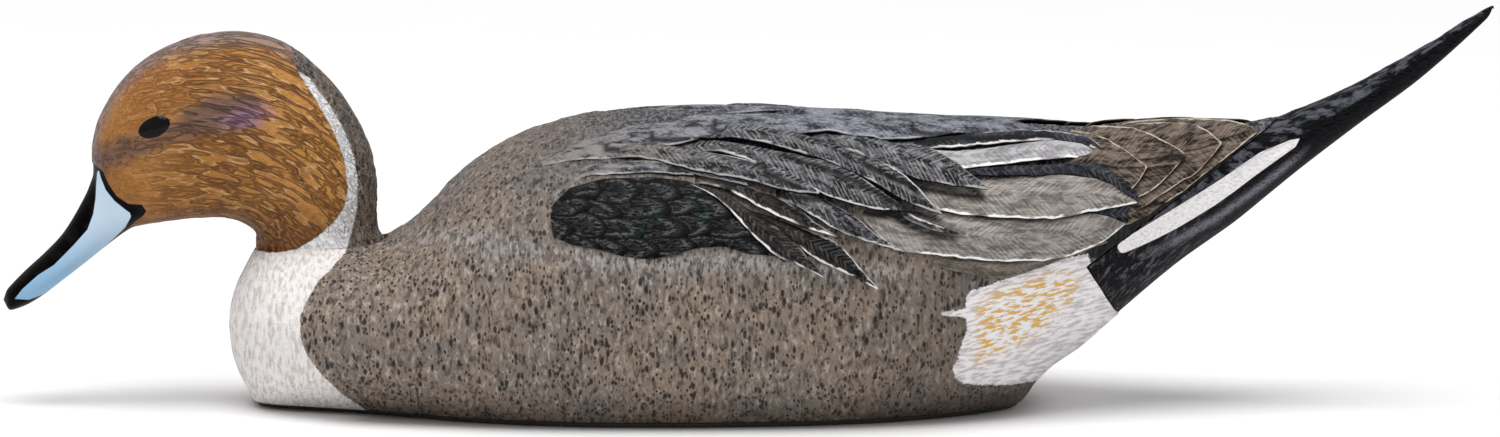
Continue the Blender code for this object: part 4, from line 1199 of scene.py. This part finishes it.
def add_tertials(scapulars):
    low = Flock(over=scapulars)
    low.add(
        [(59.3, 52.3), (71.2, 49.9), (96.4, 49.6), (113.7, 53.7), (120.2, 55.7)],
        [(59.3, 48.2), (71.2, 44.8), (84.8, 42.8), (101.8, 48.2), (120.2, 55.1)],
        low=0.3, high=0.8, tone=0.1, rim=(0, 0),
    )
    # the low tertials' grey-brown, painted darker as shade under the tertial above
    drab_in_shade = (84, 77, 70), (124, 115, 106), (200, 196, 188)
    low.build("low_tertials", feather_paint("low_tertial_paint", *drab_in_shade, 0.08, 0.1))
    middle = Flock(over=scapulars)
    middle.add(
        [(34.5, 67.7), (50.8, 67.4), (71.2, 65.3), (98.4, 64.0), (115.4, 64.6), (125.6, 61.9)],
        [
            (34.5, 67.4), (40.6, 59.9), (49.8, 52.0), (66.4, 50.3), (82.6, 48.7), (98.8, 49.2),
            (113.7, 53.4), (125.5, 61.4),
        ],
        low=0.5, high=2.2, tone=0.3, rim=(1, 0),
    )
    middle.add(
        [(49.1, 76.3), (72.2, 77.0), (98.8, 77.0), (117.1, 74.9), (129.4, 69.1)],
        [
            (49.1, 74.2), (57.6, 67.7), (64.4, 65.0), (84.5, 62.9), (98.8, 62.6), (113.7, 65.0),
            (129.4, 68.4),
        ],
        low=0.9, high=3.0, tone=0.6, rim=(1, 0),
    )
    grey = (106, 99, 95), (160, 153, 147), (246, 244, 242)
    middle.build("tertials", feather_paint("tertial_paint", *grey, 0.14, 0.07, 0.85))
    pale = Flock(over=scapulars)
    pale.add(
        [(54.9, 86.5), (67.8, 86.5), (84.8, 87.6), (98.4, 88.2), (112.0, 86.5), (121.6, 82.8)],
        [(54.9, 84.5), (67.7, 78.7), (84.8, 80.4), (105.2, 82.1), (113.7, 82.3), (121.6, 82.3)],
        low=1.2, high=2.4, tone=0.9, rim=(1, 0),
    )
    silver = (134, 132, 134), (184, 182, 186), (250, 248, 246)
    pale.build("pale_tertials", feather_paint("pale_tertial_paint", *silver, 0.14, 0.05, 0.9))
    dark = Flock(over=scapulars)
    dark.add(
        [(67.8, 78.7), (88.6, 80.4), (105.2, 80.7), (118.2, 79.0), (126.3, 73.9), (130.4, 69.8)],
        [(67.8, 77.0), (88.6, 76.4), (103.9, 76.6), (117.5, 74.9), (125.0, 71.5), (130.1, 68.7)],
        low=1.4, high=3.5, tone=0.2, rim=(0, 0),
    )
    dark.add(
        [(52.5, 89.3), (71.2, 91.0), (88.6, 92.0), (101.8, 91.0), (113.7, 88.6), (121.2, 83.8)],
        [(52.5, 85.5), (71.2, 86.2), (91.6, 87.9), (101.8, 88.2), (112.0, 86.5), (121.2, 82.8)],
        low=1.4, high=2.6, tone=0.4, rim=(0.9, 0.4),
    )
    # a dark sheet in the gap between the tips of the two large tertials, standing for the shade there
    dark.add(
        [(110.0, 65.3), (115.4, 66.3), (120.5, 67.4), (127.0, 68.4)],
        [(110.0, 64.3), (114.8, 62.9), (119.5, 61.9), (127.0, 61.9)],
        low=0.9, high=1.5, tone=0.7, rim=(0, 0),
    )
    ink = (10, 10, 13), (50, 53, 64), (238, 235, 232)
    dark.build("tertial_bands", feather_paint("band_paint", *ink, 0.06, 0.04, 0.6))


def add_scapulars():
    over_wing = [
        # front to rear: upper edge, lower edge, root height, tip height
        (
            [(-73.3, 83.1), (-59.7, 87.9), (-44.4, 89.3), (-29.1, 86.5)],
            [(-73.3, 80.4), (-59.7, 82.4), (-44.4, 83.1), (-29.1, 85.5)],
            0.2, 1.0,
        ),
        (
            [(-64.8, 87.2), (-47.8, 92.3), (-32.5, 93.4), (-17.2, 89.9)],
            [(-64.8, 83.8), (-47.8, 86.5), (-32.5, 86.5), (-17.2, 88.9)],
            0.4, 1.4,
        ),
        (
            [(-61.4, 78.3), (-51.2, 82.1), (-34.2, 82.4), (-18.9, 77.6)],
            [(-61.4, 74.9), (-51.2, 77.6), (-34.2, 78.0), (-18.9, 77.0)],
            0.3, 1.1,
        ),
        (
            [(-51.2, 92.0), (-32.5, 96.1), (-13.8, 96.1), (1.5, 92.0)],
            [(-51.2, 87.9), (-32.5, 89.9), (-13.8, 89.3), (1.5, 91.0)],
            0.6, 1.8,
        ),
        (
            [(-41.0, 83.1), (-27.4, 83.8), (-12.1, 81.1), (-0.9, 74.2)],
            [(-41.0, 79.7), (-27.4, 79.0), (-13.8, 76.3), (-0.9, 73.2)],
            0.5, 1.5,
        ),
        (
            [(-32.5, 96.8), (-12.1, 98.8), (10.0, 97.5), (27.0, 92.7)],
            [(-32.5, 93.4), (-12.1, 93.0), (10.0, 90.6), (27.0, 91.7)],
            0.8, 1.5,
        ),
        (
            [(-3.6, 98.2), (23.6, 98.8), (50.8, 96.1), (71.2, 92.0)],
            [(-3.6, 94.1), (23.6, 92.0), (50.8, 88.6), (71.2, 91.0)],
            1.2, 1.7,
        ),
        (
            [(30.4, 98.8), (57.6, 98.2), (81.4, 96.1), (101.8, 92.0)],
            [(30.4, 94.7), (57.6, 92.3), (81.4, 90.3), (101.8, 91.3)],
            1.2, 1.8,
        ),
    ]
    listed = [
        # lower front to upper rear: upper edge, lower edge, root height, tip height, rim
        (
            [(-3.6, 67.7), (16.8, 60.5), (29.8, 53.7), (36.6, 46.2), (42.3, 40.0)],
            [(-3.6, 65.3), (13.4, 55.7), (21.9, 49.2), (32.1, 44.5), (42.3, 39.3)],
            0.6, 2.2, (1, 0.7),
        ),
        (
            [(-20.6, 75.2), (-5.3, 69.4), (8.3, 59.9), (16.8, 52.3), (24.3, 43.4)],
            [
                (-32.5, 75.9), (-20.6, 73.9), (-11.7, 69.8), (-1.9, 59.9), (8.3, 50.6), (16.8, 46.9),
                (24.3, 43.1),
            ],
            0.8, 2.6, (1, 0.2),
        ),
        (
            [(-20.6, 78.3), (-1.2, 73.5), (12.8, 67.4), (21.9, 60.5), (30.1, 55.7)],
            [(-20.6, 75.6), (-6.3, 71.1), (6.6, 64.0), (18.2, 59.2), (30.1, 55.4)],
            1.4, 3.2, (1, 0.3),
        ),
        (
            [(6.6, 74.2), (21.9, 70.8), (33.8, 63.6), (41.3, 57.1), (50.8, 51.6)],
            [(6.6, 70.8), (18.5, 64.6), (30.4, 57.5), (37.2, 55.1), (50.8, 51.3)],
            1.6, 3.6, (0.9, 0.5),
        ),
        (
            [(-51.2, 86.5), (-34.2, 88.6), (-17.2, 85.8), (3.2, 79.7), (16.8, 74.6), (23.0, 70.1)],
            [(-51.2, 83.8), (-34.2, 82.1), (-17.2, 77.6), (-0.2, 74.2), (13.4, 70.5), (23.0, 69.4)],
            1.2, 3.4, (0.5, 0.6),
        ),
        (
            [(13.4, 79.0), (30.4, 74.9), (44.0, 67.7), (57.6, 60.9), (68.9, 57.1)],
            [(13.4, 76.3), (30.4, 70.1), (45.4, 65.0), (54.9, 59.9), (62.7, 57.5), (68.9, 56.8)],
            2.0, 4.4, (0.2, 1),
        ),
        (
            [(-20.6, 89.9), (3.2, 86.5), (23.6, 82.4), (33.8, 76.3), (44.0, 69.4), (52.5, 64.0)],
            [(-20.6, 86.5), (-1.9, 81.4), (13.4, 74.9), (27.0, 68.4), (40.6, 64.6), (52.5, 63.6)],
            2.0, 4.4, (0.9, 0.5),
        ),
        (
            [(-17.2, 94.1), (3.2, 92.7), (23.6, 88.6), (37.2, 82.4), (50.8, 74.9), (63.1, 62.9)],
            [(-17.2, 90.6), (3.2, 86.5), (23.6, 80.4), (40.6, 72.8), (52.5, 66.0), (63.1, 62.6)],
            2.4, 5.0, (0.6, 0.9),
        ),
        (
            [(16.8, 90.6), (37.2, 89.6), (56.3, 85.2), (67.8, 79.0), (78.4, 70.5)],
            [(16.8, 86.5), (33.8, 83.1), (46.1, 77.6), (61.0, 72.5), (78.4, 70.1)],
            2.6, 5.4, (0.6, 0.2),
        ),
    ]
    lowest, upper_rows = Flock(), Flock()
    for k, (upper, lower, low, high, rim) in enumerate(listed):
        flock = lowest if k < 3 else upper_rows
        flock.add(upper, lower, low=low, high=high, tone=k * 0.37, rim=rim)
    lowest.cover = list(upper_rows.outlines)
    back = Flock(over=[upper_rows])
    for k, (upper, lower, low, high) in enumerate(over_wing):
        back.add(upper, lower, low=low, high=high, tone=4 + k * 0.31, rim=(0.5, 0.2))
    coal = (9, 8, 8), (46, 43, 41), (230, 228, 226)
    lowest.build("low_scapulars", feather_paint("low_scapular_paint", *coal, 0.06, 0.05, 0.8))
    charcoal = feather_paint(
        "scapular_paint", (20, 20, 23), (74, 75, 82), (208, 206, 205), 0.26, 0.24, 0.6, 0.12,
        spot=(206, 170, 110),
    )
    upper_rows.build("scapulars", charcoal)
    slate = (40, 43, 51), (130, 132, 142), (196, 196, 200)
    back.build("back_feathers", feather_paint("back_paint", *slate, 0.12, 0.3, 0.55))
    return [lowest, upper_rows, back]


def add_rump_feathers():
    flock = Flock()
    listed = [
        (
            [(122.2, 94.7), (139.2, 96.4), (156.2, 96.1), (167.8, 94.4), (171.9, 92.0)],
            [(112.0, 58.5), (126.7, 61.2), (142.6, 70.1), (157.9, 81.4), (171.9, 91.3)],
            0.5, 1.4,
        ),
        (
            [(125.6, 94.1), (140.9, 94.7), (152.8, 92.7), (159.3, 87.9)],
            [(113.7, 59.9), (127.3, 64.6), (140.9, 72.8), (152.8, 80.4), (159.3, 87.2)],
            0.9, 2.2,
        ),
        (
            [(112.0, 94.1), (130.1, 92.0), (139.2, 88.3), (146.7, 83.8)],
            [(113.7, 64.3), (132.1, 70.8), (139.2, 75.6), (146.7, 83.1)],
            1.2, 2.8,
        ),
        (
            [(105.2, 92.0), (117.1, 89.6), (127.5, 83.8), (133.5, 79.3)],
            [(108.6, 67.7), (122.2, 69.4), (128.4, 72.8), (133.5, 79.0)],
            1.6, 3.2,
        ),
    ]
    for k, (upper, lower, low, high) in enumerate(listed):
        flock.add(upper, lower, low=low, high=high, tone=k * 0.43, size=(48, 25), tuck=0.0)
    material = feather_paint(
        "rump_paint", (30, 23, 19), (120, 106, 96), (192, 178, 162), 0.16, 0.1, 0.55,
        shaft=(30, 24, 21),
    )
    flock.build("rump_feathers", material)


def add_side_patch():
    """The black patch of small scale-like feathers, as one raised sheet on each side."""
    upper = [
        (-66.8, 62.9), (-66.1, 67.7), (-60.2, 73.5), (-49.5, 76.5), (-32.2, 77.0), (-20.6, 75.6),
        (-12.1, 70.8), (-1.9, 60.5), (9.0, 50.6),
    ]
    lower = [
        (-66.8, 62.6), (-66.0, 57.0), (-60.2, 54.5), (-50.4, 52.8), (-42.9, 50.4), (-33.9, 49.1),
        (-25.7, 50.8), (-17.4, 53.3), (-8.3, 53.7), (-0.1, 51.2), (9.0, 50.3),
    ]
    n_along, n_across = 170, 60
    top, bottom = even_curve(upper, n_along), even_curve(lower, n_along)
    shares = np.linspace(0, 1, n_across)
    grid = bottom[:, None] * (1 - shares[None, :, None]) + top[:, None] * shares[None, :, None]
    flat = grid.reshape(-1, 2)
    width = np.linalg.norm(top - bottom, axis=1)
    to_side = (np.minimum(shares, 1 - shares)[None] * width[:, None]).ravel()
    height, tip = scale_height(flat)
    brim = softly(to_side, 0.0, 1.2)
    flock = Flock()
    lift = 0.15 + brim * (0.35 + height)
    over = HIDE.find(flat, lift)
    under = HIDE.find(flat, np.full(len(flat), -0.8))
    flock.stitch(over, under, n_along, n_across)
    glints = np.array([(-32.5, 64.3), (-15.5, 64.3), (-20.6, 69.4), (-37.6, 58.5)])
    near = np.min([np.linalg.norm(flat - g, axis=1) for g in glints], axis=0)
    flock.numbers = {
        "scale_tip": [tip, tip],
        "glint": [np.exp(-(near / 3.0) ** 2)] * 2,
    }
    flock.build("side_patch", patch_paint())


def scale_height(flat):
    """Rows of small feathers, each lying over the one behind it: height, and nearness to a tip."""
    random = np.random.default_rng(8)
    pitch_x, pitch_t = 12.0, 6.4
    bent = np.c_[flat / 4.5, np.zeros(len(flat))]
    flat = flat + np.stack([wool(bent, 51) * 1.5, wool(bent, 52) * 1.0], axis=1)
    height = np.zeros(len(flat))
    tip = np.zeros(len(flat))
    first = np.full(len(flat), 1e9)
    for row in range(7):
        t = 47.5 + row * pitch_t
        for k in range(10):
            x = -72 + (k + 0.5 * (row % 2)) * pitch_x
            x, at = x + random.uniform(-2.2, 2.2), t + random.uniform(-1.1, 1.1)
            length, half = random.uniform(10.5, 15.5), random.uniform(3.6, 5.2)
            p = (flat[:, 0] - x) / length
            q = (flat[:, 1] - at + 0.12 * (flat[:, 0] - x)) / half
            reach = np.maximum(p, 0) ** 2 + q * q
            nearer = (p > -1) & (p < 1) & (reach < 1) & (x < first)
            height = np.where(nearer, 0.1 + (p + 1) / 2 - 0.3 * q * q, height)
            tip = np.where(nearer, np.clip(reach, 0, 1), tip)
            first = np.where(nearer, x, first)
    return height, tip


# ---------------------------------------------------------------- eyes and the small CAD pieces
def eye_material():
    paint = Paint("eye_glass", 0.1, specular=0.15)
    depth = paint.noise(paint.space(0.4, 0.4, 0.4), 1.0, 2.0)
    colour = paint.fade(depth, 0.3, 0.7, (0.0015, 0.0015, 0.002), (0.004, 0.003, 0.003))
    return paint.finish(colour)


def plain_material(name, dark, light, roughness, metallic, size, bump, stretch=(1, 1, 1)):
    """Moulded, cast or turned stock, with a grain of the given size and some wear."""
    paint = Paint(name, roughness, metallic)
    dark, light = shade(*dark), shade(*light)
    grain = paint.noise(paint.space(*(size * s for s in stretch)), 1.0, 4.0, 0.6)
    wear = paint.noise(paint.space(0.06, 0.06, 0.06), 1.0, 3.0)
    colour = paint.fade(grain, 0.35, 0.65, dark, light)
    colour = paint.wash(paint.ramp(wear, 0.5, 0.7), 0.3, colour, light)
    uneven = paint.math("MULTIPLY_ADD", wear, 0.25, roughness - 0.12)
    return paint.finish(colour, paint.bump(grain, bump), uneven)


def dress_cad_nodes():
    plastic = plain_material("pan_plastic_finish", (50, 44, 40), (78, 69, 62), 0.65, 0.0, 1.2, 0.15)
    steel = plain_material(
        "steel_finish", (150, 152, 156), (206, 208, 210), 0.3, 1.0, 2.0, 0.03, stretch=(1, 1, 6)
    )
    brass = plain_material("brass_finish", (164, 128, 62), (214, 180, 104), 0.3, 1.0, 1.5, 0.03)
    nylon = plain_material("nylon_finish", (200, 198, 190), (226, 224, 216), 0.4, 0.0, 0.8, 0.05)
    iron = plain_material("iron_finish", (70, 70, 74), (112, 110, 110), 0.55, 0.9, 0.7, 0.3)
    rubber = plain_material("rubber_finish", (24, 24, 25), (44, 44, 46), 0.75, 0.0, 1.0, 0.1)
    foam = plain_material("foam_finish", (206, 184, 138), (232, 216, 176), 0.9, 0.0, 0.9, 0.5)
    finishes = {
        "hull_pan": plastic,
        "ballast_cover": plastic,
        "foam_core": foam,
        "ballast_bar": iron,
        "vent_plug": rubber,
        "neck_bush": nylon,
        "neck_plug": nylon,
        "tail_socket": nylon,
        "tail_clip": steel,
        "line_tie_bracket": brass,
        "line_tie_ring": brass,
        "left_eye": eye_material(),
        "right_eye": eye_material(),
    }
    for name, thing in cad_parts.items():
        material = finishes.get(name, steel)
        for slot in thing.material_slots:
            slot.material = material


# ---------------------------------------------------------------- floor, lights and camera
def floor():
    far = 30000
    corners = [(-far, -far, 0), (far, -far, 0), (far, far, 0), (-far, far, 0)]
    mesh = make_mesh("floor", corners, [(0, 1, 2, 3)])
    paint = Paint("floor_card", 0.9, specular=0.05)
    grain = paint.noise(paint.space(0.02, 0.02, 0.02), 1.0, 2.0)
    material = paint.finish(paint.mix(grain, (0.9, 0.9, 0.9), (0.92, 0.92, 0.92)))
    link_mesh("floor", mesh, material)


def area_light(name, place, target, size, power):
    data = bpy.data.lights.new(name, "AREA")
    data.shape = "DISK"
    data.size = size
    data.energy = power
    light = link(name, data)
    light.location = place
    aim = Vector(target) - Vector(place)
    light.rotation_euler = aim.to_track_quat("-Z", "Y").to_euler()


def lights():
    world = bpy.data.worlds.new("studio")
    world.use_nodes = True
    background = world.node_tree.nodes["Background"]
    background.inputs["Color"].default_value = (1, 1, 1, 1)
    background.inputs["Strength"].default_value = 0.55
    bpy.context.scene.world = world
    area_light("overhead", (-0.4, -0.9, 4.5), (0, 0, 0), 4.0, 175)


def camera():
    data = bpy.data.cameras.new("camera")
    data.sensor_width = SENSOR_WIDTH
    data.lens = SENSOR_WIDTH * CAMERA_DISTANCE / VIEW_WIDTH
    data.clip_end = 200
    thing = link("camera", data)
    angle = math.radians(SIGHT_DEGREES)
    target = Vector((0, 0, CAMERA_HEIGHT * MM))
    thing.location = target + Vector((0, -math.cos(angle), math.sin(angle))) * CAMERA_DISTANCE
    aim = target - thing.location
    thing.rotation_euler = aim.to_track_quat("-Z", "Y").to_euler()
    bpy.context.scene.camera = thing
    bpy.context.scene.view_settings.view_transform = "Standard"


camera()
lights()
floor()
make_body_skin()
make_tail_skin()
make_head_skin()
add_side_patch()
add_rump_feathers()
add_tertials(add_scapulars())
dress_cad_nodes()
